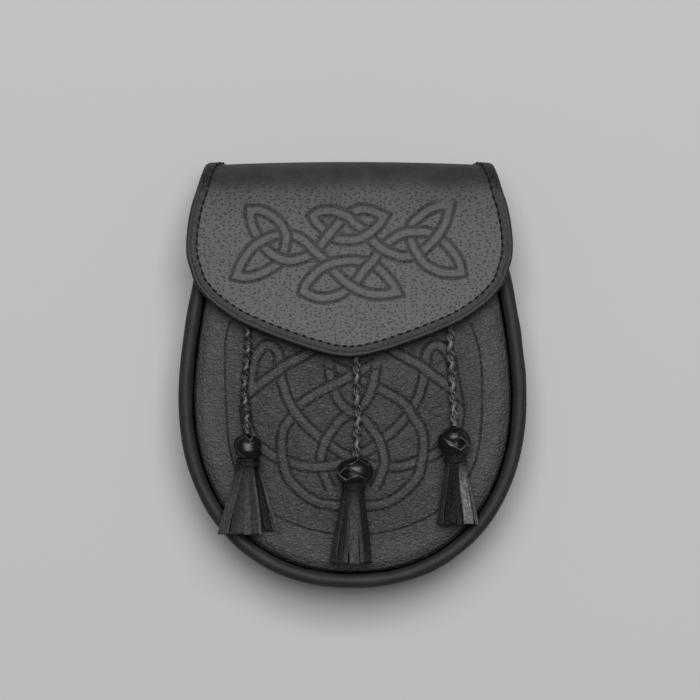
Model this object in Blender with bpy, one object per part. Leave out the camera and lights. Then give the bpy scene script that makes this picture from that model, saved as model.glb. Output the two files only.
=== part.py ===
"""A black leather day sporran, lying on its back with its front facing up.

Metres, +Z up. +Y points to the folded top of the flap and +X to the right as one looks down on the front.
The origin lies on the floor under the middle of the pouch. "Up" below is a distance measured along +Y
from the lowest point of the pouch's rim. A SHARE is a part of the length or width that its comment names.
"""

import math

import bmesh
import bpy
import numpy as np

# The whole pouch. The shares are of OVERALL_LENGTH, up from the bottom of the rim.
OVERALL_LENGTH = 0.2146
BODY_WIDTH = 0.175
WIDEST_SHARE = 0.452
RIM_ROUNDNESS = 2.2
SHOULDER_TAPER = 0.0075
SHOULDER_LENGTH = 0.0575
TAPER_POWER = 1.6
SEAM_SPACING = 0.03225
LEATHER = 0.002
GAP = 0.0003
SEAM_GAP = 0.0006

# The rim
PIPING_WIDTH = 0.0075
PIPING_TOP_SHARE = 0.876
PIPING_SIDES = 8
RIM_STATIONS = 26
GUSSET_FOLD = 0.0015

# The front and the back
MOUTH_SHARE = 0.8295
FRONT_SHOULDER_RISE = 0.003
FRONT_SHOULDER_WIDTH = 0.006
FRONT_DOME = 0.0035
SPINE_LOW_SHARE = 0.289
PANEL_RINGS = 8
RING_CROWDING = 1.35
BACK_TOP_SHARE = 0.8947
BACK_DISH = 0.0042
BACK_FLAT_MARGIN = 0.006
BACK_DISH_SLOPE = 0.024

# The flap
FLAP_LEATHER = 0.0025
FLAP_WIDTH = 0.163
FLAP_SHIFT = -0.0015
FLAP_TIP_SHARE = 0.5394
FLAP_CORNER_SHARE = 0.7036
FLAP_TIP_LIFT = 0.0089
FLAP_EDGE_DROOP = 0.0012
FOLD_RADIUS = 0.020
FOLD_ARCH = 0.0022
FLAP_BACK_LENGTH = 0.034
FLAP_COLUMNS = 16
FLAP_FRONT_ROWS = 9
FLAP_FOLD_ROWS = 11
BINDING_FOLD_SHARE = 0.8
BINDING_WIDTH = 0.0057
BINDING_LEATHER = 0.001

# The closure and the belt loops
STUD_WIDTH = 0.012
STUD_SHARE = 0.6897
STUD_SIDES = 16
LOOP_WIDTH = 0.014
LOOP_LENGTH = 0.058
LOOP_FOOT = 0.010
LOOP_BEND = 0.005
LOOP_SPACING = 0.066
LOOP_MIDDLE_SHARE = 0.5965
LOOP_LEATHER = 0.0022

# The thongs and the tassels
THONG_DIAMETER = 0.0045
THONG_STEP = 0.0028
THONG_HOLE_CLEARANCE = 0.0005
HOLE_SIDES = 16
KNOT_SIZE = 0.0185
KNOT_SIDES = 12
SKIRT_STRIPS = 12
SKIRT_THICKNESS = 0.0064
STRIP_LEATHER = 0.0012
STRIP_SHARE = 0.92
SKIRT_NECK_WIDTH = 0.0095
SKIRT_NECK_SHARE = 0.14
SKIRT_NECK_SIDES = 10
SKIRT_CROWN = 0.83
SKIRT_SPREAD_POWER = 0.8
SKIRT_FALL_POWER = 1.5

WIDEST_UP = WIDEST_SHARE * OVERALL_LENGTH
PIPING_TOP_UP = PIPING_TOP_SHARE * OVERALL_LENGTH
MOUTH_UP = MOUTH_SHARE * OVERALL_LENGTH
SPINE_LOW_UP = SPINE_LOW_SHARE * OVERALL_LENGTH
BACK_TOP_UP = BACK_TOP_SHARE * OVERALL_LENGTH
FLAP_TIP_UP = FLAP_TIP_SHARE * OVERALL_LENGTH
FLAP_CORNER_UP = FLAP_CORNER_SHARE * OVERALL_LENGTH
STUD_UP = STUD_SHARE * OVERALL_LENGTH
LOOP_MIDDLE_UP = LOOP_MIDDLE_SHARE * OVERALL_LENGTH
FRONT_SEAM_Z = PIPING_WIDTH / 2 + SEAM_SPACING
BACK_SEAM_Z = PIPING_WIDTH / 2
PANEL_INSET = PIPING_WIDTH + SEAM_GAP
PIPING_REACH = PIPING_WIDTH / 2 / math.cos(math.pi / PIPING_SIDES)
FOLD_START_UP = OVERALL_LENGTH - FOLD_RADIUS - FLAP_LEATHER / 2
FOLD_CENTRE_Z = GAP + FLAP_LEATHER / 2 + FOLD_RADIUS
FOLD_LENGTH = math.pi * FOLD_RADIUS

# The side wall's fold, from its upper or lower seam to the other
WALL_FOLD = (
    # (share of the wall's height, share of GUSSET_FOLD)
    (0.00, 0.0),
    (0.25, 0.7),
    (0.50, 1.0),
    (0.75, 0.7),
    (1.00, 0.0),
)

# The flap's last grid rows on the back, closer together at its end
FLAP_BACK_ROWS = (0.45, 0.80, 0.93, 1.00)

# How far down the flap's front (0 at the fold, 1 at the point), and how far it stands above the fold's level
FLAP_LIFT = (
    # (share of the front's length, share of FLAP_TIP_LIFT)
    (0.00, 0.00),
    (0.12, 0.15),
    (0.30, 0.40),
    (0.55, 0.66),
    (0.80, 0.89),
    (1.00, 1.00),
)

# Half the flap's width on its way from the corner, over the fold and down the back
FLAP_SIDE = (
    # (share of the way from corner to back end, share of half FLAP_WIDTH)
    (0.000, 0.933),
    (0.030, 0.957),
    (0.061, 0.973),
    (0.095, 0.991),
    (0.150, 1.000),
    (0.204, 0.994),
    (0.275, 0.975),
    (0.314, 0.958),
    (0.347, 0.940),
    (0.387, 0.923),
    (0.436, 0.905),
    (0.475, 0.893),
    (0.560, 0.845),
    (0.740, 0.765),
    (0.900, 0.745),
    (0.960, 0.725),
    (0.985, 0.690),
    (1.000, 0.620),
)

# The flap's lower edge, from its point to the corner
FLAP_EDGE = (
    # (share of half FLAP_WIDTH, share of the height from point to corner)
    (-0.080, 0.016),
    (0.000, 0.000),
    (0.080, 0.016),
    (0.216, 0.092),
    (0.365, 0.206),
    (0.539, 0.359),
    (0.699, 0.532),
    (0.791, 0.674),
    (0.871, 0.830),
    (0.933, 1.000),
)

# The thongs' middle lines, from the holes in the front to the knots
THONG_ROUTES = {
    "left": (
        # (share of half BODY_WIDTH, share of OVERALL_LENGTH, height above the front in THONG_DIAMETERs)
        (-0.5885, 0.7153, -1.511),
        (-0.5897, 0.7013, -0.844),
        (-0.5920, 0.6827, 0.111),
        (-0.5943, 0.6617, 0.622),
        (-0.5965, 0.6384, 0.689),
        (-0.5965, 0.6011, 0.600),
        (-0.5965, 0.5522, 0.578),
        (-0.6080, 0.5126, 0.578),
        (-0.6160, 0.4613, 0.578),
        (-0.6057, 0.4194, 0.667),
        (-0.6000, 0.3891, 1.178),
        (-0.6000, 0.3728, 1.400),
        (-0.6011, 0.3625, 1.422),
    ),
    "centre": (
        # (share of half BODY_WIDTH, share of OVERALL_LENGTH, height above the front in THONG_DIAMETERs)
        (0.0240, 0.6477, -1.511),
        (0.0240, 0.6337, -0.844),
        (0.0240, 0.6151, 0.111),
        (0.0240, 0.5941, 0.622),
        (0.0240, 0.5708, 0.644),
        (0.0240, 0.5405, 0.578),
        (0.0240, 0.4893, 0.578),
        (0.0263, 0.4357, 0.578),
        (0.0343, 0.4101, 0.578),
        (0.0263, 0.3751, 0.667),
        (0.0275, 0.3425, 1.156),
        (0.0229, 0.3215, 1.444),
        (0.0195, 0.3085, 1.467),
    ),
    "right": (
        # (share of half BODY_WIDTH, share of OVERALL_LENGTH, height above the front in THONG_DIAMETERs)
        (0.5566, 0.7153, -1.511),
        (0.5577, 0.7013, -0.844),
        (0.5589, 0.6827, 0.111),
        (0.5600, 0.6617, 0.622),
        (0.5600, 0.6384, 0.689),
        (0.5600, 0.6011, 0.600),
        (0.5566, 0.5568, 0.578),
        (0.5669, 0.5149, 0.578),
        (0.5715, 0.4706, 0.600),
        (0.5737, 0.4404, 0.756),
        (0.5783, 0.4101, 1.289),
        (0.5783, 0.3914, 1.578),
        (0.5772, 0.3802, 1.600),
    ),
}

# The knots: their place, size and lean
KNOTS = {
    # name: (share of half BODY_WIDTH and of OVERALL_LENGTH of the top, the shares of KNOT_SIZE that its
    # width, length and thickness are, share of half BODY_WIDTH of the lower end)
    "left": (-0.6011, 0.3597, 0.811, 0.703, 0.703, -0.5897),
    "centre": (0.0183, 0.3057, 1.000, 0.730, 0.730, 0.0103),
    "right": (0.5772, 0.3774, 0.892, 0.811, 0.784, 0.5795),
}

# The profile that the knots share, from the thong's end to the skirt's
KNOT_PROFILE = (
    # (share of the length, share of half the width)
    (0.00, 0.34),
    (0.07, 0.62),
    (0.24, 0.91),
    (0.50, 1.00),
    (0.76, 0.90),
    (0.93, 0.66),
    (1.00, 0.48),
)

# The skirts: how far the strips reach
SKIRTS = {
    # name: (share of OVERALL_LENGTH of the hem, shares of half BODY_WIDTH of its left and its right side,
    # share of SKIRT_THICKNESS at the hem)
    "left": (0.1258, -0.7748, -0.4137, 0.97),
    "centre": (0.0582, -0.1348, 0.1166, 1.00),
    "right": (0.1468, 0.4766, 0.7235, 0.97),
}

# Where along a strip its sections stand. The first and the last differ a little from strip to strip.
STRIP_SECTIONS = (0.02, 0.25, 0.6, 1.0)
STRIP_START_SPREAD = 0.03
STRIP_END_SPREAD = 0.04


def y_of(up):
    """The Y of a height up the pouch."""
    return up - OVERALL_LENGTH / 2


def read_table(table, share):
    """A smooth reading of a two-column table."""
    columns = np.array(table)
    at, values = columns[:, 0], columns[:, 1]
    slopes = np.gradient(values, at)
    share = min(max(share, at[0]), at[-1])
    row = min(int(np.searchsorted(at, share, side="right")) - 1, len(at) - 2)
    width = at[row + 1] - at[row]
    t = (share - at[row]) / width
    steady = (2 * t**3 - 3 * t**2 + 1) * values[row] + (3 * t**2 - 2 * t**3) * values[row + 1]
    return steady + width * ((t**3 - 2 * t**2 + t) * slopes[row] + (t**3 - t**2) * slopes[row + 1])


def body_half_width(up):
    """Half the pouch's width at a height up the pouch, over the piping."""
    if up >= WIDEST_UP:
        return BODY_WIDTH / 2 - SHOULDER_TAPER * ((up - WIDEST_UP) / SHOULDER_LENGTH) ** TAPER_POWER
    below = 1 - max(up, 0) / WIDEST_UP
    return BODY_WIDTH / 2 * (1 - below**RIM_ROUNDNESS) ** (1 / RIM_ROUNDNESS)


def rim_half(inset, top_up, stations):
    """Evenly spaced points (x, up) inside the rim, from the middle of the bottom to the right top."""
    fine = []
    for angle in np.linspace(0, math.pi / 2, 120):
        x = BODY_WIDTH / 2 * math.sin(angle) ** (2 / RIM_ROUNDNESS)
        up = WIDEST_UP * (1 - math.cos(angle) ** (2 / RIM_ROUNDNESS))
        fine.append((x, up))
    for up in np.linspace(WIDEST_UP, top_up, 40)[1:]:
        fine.append((body_half_width(up), up))
    fine = np.array(fine)
    along = np.gradient(fine, axis=0)
    along /= np.linalg.norm(along, axis=1)[:, None]
    along[0] = (1, 0)
    fine = fine + inset * np.stack([-along[:, 1], along[:, 0]], axis=1)
    fine[0, 0] = 0
    reach = np.concatenate([[0], np.cumsum(np.linalg.norm(np.diff(fine, axis=0), axis=1))])
    even = np.linspace(0, reach[-1], stations + 1)
    return np.stack([np.interp(even, reach, fine[:, 0]), np.interp(even, reach, fine[:, 1])], axis=1)


def rim(inset, top_up, stations):
    """The whole rim's points, from the left top round the bottom to the right top."""
    right = rim_half(inset, top_up, stations)
    left = right[:0:-1] * (-1, 1)
    return np.concatenate([left, right])


def edge_distance(x, up):
    """About how far a point of the front lies inside the panel's edge."""
    if up >= WIDEST_UP:
        return max(body_half_width(up) - PANEL_INSET - abs(x), 0)
    half, tall = BODY_WIDTH / 2 - PANEL_INSET, WIDEST_UP - PANEL_INSET
    down = WIDEST_UP - up
    spread = (abs(x / half) ** RIM_ROUNDNESS + (down / tall) ** RIM_ROUNDNESS) ** (1 / RIM_ROUNDNESS)
    return max(math.hypot(x, down) * (1 / spread - 1), 0) if spread > 0 else half


def front_z(x, up):
    """The height of the front panel's outer face."""
    inside = edge_distance(x, up)
    shoulder = min(inside / FRONT_SHOULDER_WIDTH, 1)
    share = min(inside / (BODY_WIDTH / 2 - PANEL_INSET), 1)
    rise = FRONT_SHOULDER_RISE * math.sin(shoulder * math.pi / 2)
    return FRONT_SEAM_Z + rise + FRONT_DOME * (1 - (1 - share) ** 2)


def lying_z(x, up):
    """The lowest height at which a tassel's strip can lie there, on the front or on the welt."""
    return max(front_z(x, up), FRONT_SEAM_Z + PIPING_WIDTH / 2)


def eased(share):
    """A share that starts and stops softly."""
    return 3 * share**2 - 2 * share**3


def back_z(x, up):
    """The height of the back panel's outer face, dished where the belt loops sit."""
    flat = GAP + FLAP_LEATHER + GAP
    across = min(max(edge_distance(x, up) - BACK_FLAT_MARGIN, 0) / BACK_DISH_SLOPE, 1)
    past = max(abs(up - LOOP_MIDDLE_UP) - LOOP_LENGTH / 2, 0)
    along = max(1 - past / BACK_DISH_SLOPE, 0)
    return flat + BACK_DISH * eased(across) * eased(along)


def flap_front_z(x, up):
    """The height of the flap's middle layer on the front."""
    share = (FOLD_START_UP - up) / (FOLD_START_UP - FLAP_TIP_UP)
    lift = FLAP_TIP_LIFT * read_table(FLAP_LIFT, share)
    droop = FLAP_EDGE_DROOP * (abs(x) / (FLAP_WIDTH / 2)) ** 4 * min(4 * share, 1)
    return FOLD_CENTRE_Z + FOLD_RADIUS + lift - droop


def flap_point(x, strip_up):
    """A point of the flap's middle layer, from its own middle, its fold and back counted as more height."""
    past = strip_up - FOLD_START_UP
    if past <= 0:
        return (x + FLAP_SHIFT, y_of(strip_up), flap_front_z(x, strip_up))
    if past <= FOLD_LENGTH:
        angle = past / FOLD_RADIUS
        arch = FOLD_ARCH * (x / (FLAP_WIDTH / 2)) ** 2
        up = FOLD_START_UP + (FOLD_RADIUS - arch) * math.sin(angle)
        return (x + FLAP_SHIFT, y_of(up), FOLD_CENTRE_Z + FOLD_RADIUS * math.cos(angle))
    return (x + FLAP_SHIFT, y_of(FOLD_START_UP - (past - FOLD_LENGTH)), FOLD_CENTRE_Z - FOLD_RADIUS)


def flap_half_width(strip_up):
    """Half the flap's width above its corner, out to the binding's edge."""
    strip = FOLD_START_UP + FOLD_LENGTH + FLAP_BACK_LENGTH - FLAP_CORNER_UP
    return FLAP_WIDTH / 2 * read_table(FLAP_SIDE, (strip_up - FLAP_CORNER_UP) / strip)


def flap_edge_up(x):
    """The height of the flap's lower edge at a distance from its middle."""
    rise = FLAP_CORNER_UP - FLAP_TIP_UP
    return FLAP_TIP_UP + rise * read_table(FLAP_EDGE, abs(x) / (FLAP_WIDTH / 2))


def strip_rows(fold_share):
    """The heights of the flap's grid rows above its corner, up to a share of the way over the fold."""
    front = np.linspace(FLAP_CORNER_UP, FOLD_START_UP, FLAP_FRONT_ROWS)
    fold_rows = round(fold_share * (FLAP_FOLD_ROWS - 1))
    fold = FOLD_START_UP + FOLD_LENGTH * np.arange(1, fold_rows + 1) / (FLAP_FOLD_ROWS - 1)
    return np.concatenate([front, fold])


def whole_strip_rows():
    """The heights of all the flap's grid rows above its corner."""
    back = FOLD_START_UP + FOLD_LENGTH + FLAP_BACK_LENGTH * np.array(FLAP_BACK_ROWS)
    return np.concatenate([strip_rows(1), back])


def flap_outline(rows):
    """The binding's outer edge as (x, strip height), from the right side round the point to the left."""
    side = [(flap_half_width(up), up) for up in rows[::-1]]
    corner = side[-1][0]
    edge = [(x, flap_edge_up(x)) for x in np.linspace(corner, 0, FLAP_COLUMNS // 2 + 1)[1:]]
    right = np.array(side + edge)
    return np.concatenate([right, right[-2::-1] * (-1, 1)])


def inward(outline):
    """Unit vectors that point from each point of the flap's outline into the flap."""
    along = np.gradient(outline, axis=0)
    along /= np.linalg.norm(along, axis=1)[:, None]
    return np.stack([along[:, 1], -along[:, 0]], axis=1)


def material(name, colour, roughness):
    """A plain leather or metal finish."""
    made = bpy.data.materials.new(name)
    made.use_nodes = True
    shader = made.node_tree.nodes["Principled BSDF"]
    shader.inputs["Base Color"].default_value = (*colour, 1)
    shader.inputs["Roughness"].default_value = roughness
    return made


def add_mesh(name, points, faces, finish, smooth=True):
    """A mesh object of the given points and faces, with its doubles merged."""
    mesh = bpy.data.meshes.new(name)
    mesh.from_pydata([tuple(p) for p in points], [], faces)
    shape = bmesh.new()
    shape.from_mesh(mesh)
    bmesh.ops.remove_doubles(shape, verts=shape.verts, dist=1e-6)
    bmesh.ops.recalc_face_normals(shape, faces=shape.faces)
    shape.to_mesh(mesh)
    shape.free()
    if smooth:
        mesh.shade_smooth()
    mesh.materials.append(finish)
    made = bpy.data.objects.new(name, mesh)
    bpy.context.scene.collection.objects.link(made)
    return made


def grid_faces(rows, columns):
    """Four-cornered faces between the rows and columns of a grid of points."""
    return [
        (r * columns + c, r * columns + c + 1, (r + 1) * columns + c + 1, (r + 1) * columns + c)
        for r in range(rows - 1)
        for c in range(columns - 1)
    ]


def face_up(made, up_is_out=True):
    """Turns a surface's faces so that they look up, or down."""
    shape = bmesh.new()
    shape.from_mesh(made.data)
    total = sum(face.normal.z * face.calc_area() for face in shape.faces)
    if (total > 0) != up_is_out:
        bmesh.ops.reverse_faces(shape, faces=shape.faces)
    shape.to_mesh(made.data)
    shape.free()


def thicken(made, thickness, offset):
    """Gives a surface its leather's thickness, inside its face (-1) or on both sides of it (0)."""
    solidify = made.modifiers.new("leather", "SOLIDIFY")
    solidify.thickness = thickness
    solidify.offset = offset
    solidify.use_even_offset = True


def add_bar(name, sections, finish):
    """A closed bar through rings of points, capped at both ends."""
    sides = len(sections[0])
    points = [point for section in sections for point in section]
    faces = []
    for low in range(0, (len(sections) - 1) * sides, sides):
        high = low + sides
        for side in range(sides):
            after = (side + 1) % sides
            faces.append((low + side, low + after, high + after, high + side))
    last = (len(sections) - 1) * sides
    faces.append(tuple(reversed(range(sides))))
    faces.append(tuple(last + side for side in range(sides)))
    return add_mesh(name, points, faces, finish)


def add_turned(name, profile, sides, finish, place):
    """A turned piece: rings of (radius, height) put where place(x, y, height) says."""
    sections = []
    for radius, height in profile:
        angles = [2 * math.pi * side / sides for side in range(sides)]
        sections.append([place(radius * math.cos(a), radius * math.sin(a), height) for a in angles])
    return add_bar(name, sections, finish)


def add_piping(name, seam_z, finish):
    """A round welt that runs round the pouch from one side of the mouth to the other."""
    path = rim(PIPING_WIDTH / 2, PIPING_TOP_UP, RIM_STATIONS)
    along = np.gradient(path, axis=0)
    along /= np.linalg.norm(along, axis=1)[:, None]
    out = np.stack([along[:, 1], -along[:, 0]], axis=1)
    sections = []
    for (x, up), (out_x, out_up) in zip(path, out):
        ring = []
        for side in range(PIPING_SIDES):
            angle = 2 * math.pi * (side + 0.5) / PIPING_SIDES
            across, height = PIPING_REACH * math.cos(angle), PIPING_REACH * math.sin(angle)
            ring.append((x + across * out_x, y_of(up + across * out_up), seam_z + height))
        sections.append(ring)
    return add_bar(name, sections, finish)


def add_gusset(finish):
    """The side wall between the two welts, folded in a little along its middle."""
    low, high = BACK_SEAM_Z + PIPING_REACH + GAP, FRONT_SEAM_Z - PIPING_REACH - GAP
    path = rim(PIPING_WIDTH / 2 - LEATHER / 2, PIPING_TOP_UP, RIM_STATIONS)
    along = np.gradient(path, axis=0)
    along /= np.linalg.norm(along, axis=1)[:, None]
    points = []
    for share, fold in WALL_FOLD:
        for (x, up), (along_x, along_up) in zip(path, along):
            depth = fold * GUSSET_FOLD
            height = low + (high - low) * share
            points.append((x - depth * along_up, y_of(up + depth * along_x), height))
    made = add_mesh("gusset", points, grid_faces(len(WALL_FOLD), len(path)), finish)
    shape = bmesh.new()
    shape.from_mesh(made.data)
    shape.faces.ensure_lookup_table()
    if sum(face.normal.dot(face.calc_center_median()) for face in shape.faces) < 0:
        bmesh.ops.reverse_faces(shape, faces=shape.faces)
    shape.to_mesh(made.data)
    shape.free()
    thicken(made, LEATHER, -1)
    return made


def panel_surface(name, top_up, height_of, finish):
    """A surface of rings from the rim in to the middle line, at the heights that a function gives."""
    edge = rim_half(PANEL_INSET, top_up, RIM_STATIONS)
    edge[-1, 1] = top_up
    lowest = edge[0, 1]
    shares = np.linspace(0, 1, PANEL_RINGS + 1) ** RING_CROWDING
    points = []
    for share in shares:
        for side in (-1, 1):
            for x, up in edge:
                climb = (up - lowest) / (top_up - lowest)
                spine_up = SPINE_LOW_UP + (top_up - SPINE_LOW_UP) * climb
                at_x, at_up = x * (1 - share), up + (spine_up - up) * share
                points.append((side * at_x, y_of(at_up), height_of(at_x, at_up)))
    columns = len(edge)
    faces = []
    for ring in range(len(shares) - 1):
        for side in range(2):
            start = (2 * ring + side) * columns
            after = start + 2 * columns
            for c in range(columns - 1):
                quad = (start + c, start + c + 1, after + c + 1, after + c)
                faces.append(quad if side else quad[::-1])
    return add_mesh(name, points, faces, finish)


def add_front_panel(finish):
    """The domed front, its edge tucked down beside the welt, with a hole for each thong."""
    made = panel_surface("front_panel", MOUTH_UP, front_z, finish)
    face_up(made)
    thicken(made, LEATHER, -1)
    for side, route in THONG_ROUTES.items():
        cutter = add_hole_cutter(side, route)
        boolean = made.modifiers.new(f"hole_{side}", "BOOLEAN")
        boolean.operation = "DIFFERENCE"
        boolean.object = cutter
    return made


def add_hole_cutter(side, route):
    """A round slanted cutter along a thong's first stretch, as long again at each end."""
    inner = np.array(route_point(*route[0]))
    outer = np.array(route_point(*route[2]))
    way = outer - inner
    bpy.ops.mesh.primitive_cylinder_add(
        vertices=HOLE_SIDES,
        radius=THONG_DIAMETER / 2 + THONG_HOLE_CLEARANCE,
        depth=3 * np.linalg.norm(way),
        location=tuple((inner + outer) / 2),
    )
    cutter = bpy.context.object
    cutter.name = f"cut_{side}"
    tilt = math.atan2(math.hypot(way[0], way[1]), way[2])
    cutter.rotation_euler = (0, tilt, math.atan2(way[1], way[0]))
    cutter.hide_render = True
    cutter.display_type = "WIRE"
    return cutter


def add_back_panel(finish):
    """The back, dished inwards so that the belt loops lie level with the welt."""
    made = panel_surface("back_panel", BACK_TOP_UP, back_z, finish)
    face_up(made, up_is_out=False)
    thicken(made, LEATHER, -1)
    return made


def add_flap(finish):
    """The flap, one sheet from its point up the front, over the fold and down the back."""
    inset = BINDING_LEATHER + GAP
    outline = flap_outline(whole_strip_rows())
    sheet = outline + inset * inward(outline)
    side_count = len(whole_strip_rows())
    middle = len(sheet) // 2
    right = sheet[:side_count][::-1]
    lower = sheet[side_count - 1 : middle + 1][::-1]
    edge = np.concatenate([lower[:0:-1] * (-1, 1), lower])
    corner_x, corner_up = right[0]
    columns = [x / corner_x for x in edge[:, 0]]
    points = [flap_point(x, up) for x, up in edge]
    for side_x, side_up in right[1:]:
        fade = max(1 - (side_up - corner_up) / (FOLD_START_UP - corner_up), 0)
        for column, (x, up) in zip(columns, edge):
            points.append(flap_point(column * side_x, side_up + (up - corner_up) * fade))
    made = add_mesh("flap", points, grid_faces(len(right), len(edge)), finish)
    face_up(made)
    thicken(made, FLAP_LEATHER, 0)
    return made


def flap_frame(x, strip_up, inwards):
    """A point of the flap's middle layer with its inward and outward-facing directions."""
    step = 1e-4
    here = np.array(flap_point(x, strip_up))
    inner = np.array(flap_point(x + step * inwards[0], strip_up + step * inwards[1])) - here
    inner /= np.linalg.norm(inner)
    across = np.array(flap_point(x + step, strip_up)) - here
    climb = np.array(flap_point(x, strip_up + step)) - here
    face = np.cross(across, climb)
    return here, inner, face / np.linalg.norm(face)


def add_flap_binding(finish):
    """The strip folded round the flap's edge, a deep C in section."""
    outline = flap_outline(strip_rows(BINDING_FOLD_SHARE))
    half = FLAP_LEATHER / 2 + GAP
    skin = half + BINDING_LEATHER
    profile = (
        # (inwards from the edge, away from the flap's middle layer)
        (BINDING_WIDTH, skin),
        (0.25 * BINDING_LEATHER, skin),
        (0, skin - 0.6 * BINDING_LEATHER),
        (0, 0.6 * BINDING_LEATHER - skin),
        (0.25 * BINDING_LEATHER, -skin),
        (BINDING_WIDTH, -skin),
        (BINDING_WIDTH, -half),
        (BINDING_LEATHER, -half),
        (BINDING_LEATHER, half),
        (BINDING_WIDTH, half),
    )
    sections = []
    for (x, up), inwards in zip(outline, inward(outline)):
        here, inner, face = flap_frame(x, up, inwards)
        sections.append([tuple(here + inner * depth + face * height) for depth, height in profile])
    return add_bar("flap_binding", sections, finish)


def add_press_stud(finish):
    """The snap that holds the flap's point down, its socket and post drawn as one turned piece."""
    profile = (
        # (share of the width, share of the height between front and flap)
        (0.5, 0.0),
        (0.5, 0.35),
        (0.33, 0.45),
        (0.33, 0.60),
        (0.5, 0.70),
        (0.5, 1.0),
    )

    def place(x, y, share):
        low = front_z(x + FLAP_SHIFT, STUD_UP + y) + 1.5 * GAP
        high = flap_front_z(x, STUD_UP + y) - FLAP_LEATHER / 2 - 1.5 * GAP
        return (x + FLAP_SHIFT, y_of(STUD_UP) + y, low + (high - low) * share)

    turned = [(STUD_WIDTH * width, share) for width, share in profile]
    return add_turned("press_stud", turned, STUD_SIDES, finish, place)


def add_belt_loop(name, middle_x, finish):
    """A leather loop on the back: two feet against the panel and a flat bridge level with the floor."""
    seat = back_z(middle_x, LOOP_MIDDLE_UP) - GAP
    half = LOOP_LENGTH / 2
    inner_half = half - LOOP_FOOT
    outer = (
        (-half, seat - LOOP_LEATHER),
        (-inner_half - LOOP_LEATHER / 2, seat - LOOP_LEATHER),
        (-inner_half + LOOP_BEND - LOOP_LEATHER / 2, 0),
        (inner_half - LOOP_BEND + LOOP_LEATHER / 2, 0),
        (inner_half + LOOP_LEATHER / 2, seat - LOOP_LEATHER),
        (half, seat - LOOP_LEATHER),
    )
    inner = (
        (half, seat),
        (inner_half - LOOP_LEATHER / 2, seat),
        (inner_half - LOOP_BEND - LOOP_LEATHER / 2, LOOP_LEATHER),
        (-inner_half + LOOP_BEND + LOOP_LEATHER / 2, LOOP_LEATHER),
        (-inner_half + LOOP_LEATHER / 2, seat),
        (-half, seat),
    )
    profile = outer + inner
    points = []
    for side in (-1, 1):
        for along, height in profile:
            points.append((middle_x + side * LOOP_WIDTH / 2, y_of(LOOP_MIDDLE_UP + along), height))
    count = len(profile)
    faces = [(i, (i + 1) % count, (i + 1) % count + count, i + count) for i in range(count)]
    last = count - 1
    for start in (0, count):
        for i in range(count // 2 - 1):
            faces.append((start + i, start + i + 1, start + last - i - 1, start + last - i))
    return add_mesh(name, points, faces, finish, smooth=False)


def route_point(x, up, above):
    """A thong's point, from the three shares of its row."""
    x, up = x * BODY_WIDTH / 2, up * OVERALL_LENGTH
    return (x, y_of(up), front_z(x, up) + above * THONG_DIAMETER)


def smooth_route(route, step):
    """Points an even step apart on a smooth curve through a route's own points."""
    knots = np.array([route_point(*row) for row in route])
    reach = np.concatenate([[0], np.cumsum(np.linalg.norm(np.diff(knots, axis=0), axis=1))])
    slopes = np.gradient(knots, reach, axis=0)
    count = max(round(reach[-1] / step), 2)
    points = []
    for at in np.linspace(0, reach[-1], count + 1):
        row = min(int(np.searchsorted(reach, at, side="right")) - 1, len(knots) - 2)
        width = reach[row + 1] - reach[row]
        t = (at - reach[row]) / width
        steady = (2 * t**3 - 3 * t**2 + 1) * knots[row] + (3 * t**2 - 2 * t**3) * knots[row + 1]
        bend = (t**3 - 2 * t**2 + t) * slopes[row] + (t**3 - t**2) * slopes[row + 1]
        points.append(tuple(steady + width * bend))
    return points


def add_thong(name, route, finish):
    """A braided thong as a plain tube from its hole in the front to its knot."""
    curve = bpy.data.curves.new(name, "CURVE")
    curve.dimensions = "3D"
    spline = curve.splines.new("POLY")
    points = smooth_route(route, THONG_STEP)
    spline.points.add(len(points) - 1)
    for place, point in zip(spline.points, points):
        place.co = (*point, 1)
    curve.bevel_depth = THONG_DIAMETER / 2
    curve.bevel_resolution = 2
    curve.use_fill_caps = True
    curve.materials.append(finish)
    made = bpy.data.objects.new(name, curve)
    bpy.context.scene.collection.objects.link(made)
    return made


def knot_sizes(side):
    """A knot's width, length and thickness."""
    return [share * KNOT_SIZE for share in KNOTS[side][2:5]]


def knot_axis(side):
    """Where a knot starts and ends along its length, on its middle line."""
    x, top_up = KNOTS[side][0] * BODY_WIDTH / 2, KNOTS[side][1] * OVERALL_LENGTH
    width, length, thickness = knot_sizes(side)
    low_x, low_up = KNOTS[side][5] * BODY_WIDTH / 2, top_up - length
    start = np.array((x, y_of(top_up), front_z(x, top_up) + THONG_ROUTES[side][-1][2] * THONG_DIAMETER))
    end_z = front_z(low_x, low_up) + thickness / 2 + GAP
    return start, np.array((low_x, y_of(low_up), end_z))


def add_knot(name, side, finish):
    """A woven knot, a rounded barrel that the thong goes into."""
    width, length, thickness = knot_sizes(side)
    start, end = knot_axis(side)

    def place(across, height, share):
        middle = start + (end - start) * share
        return (middle[0] + across, middle[1], middle[2] + height * thickness / width)

    profile = [(width / 2 * half, share) for share, half in KNOT_PROFILE]
    return add_turned(name, profile, KNOT_SIDES, finish, place)


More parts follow.
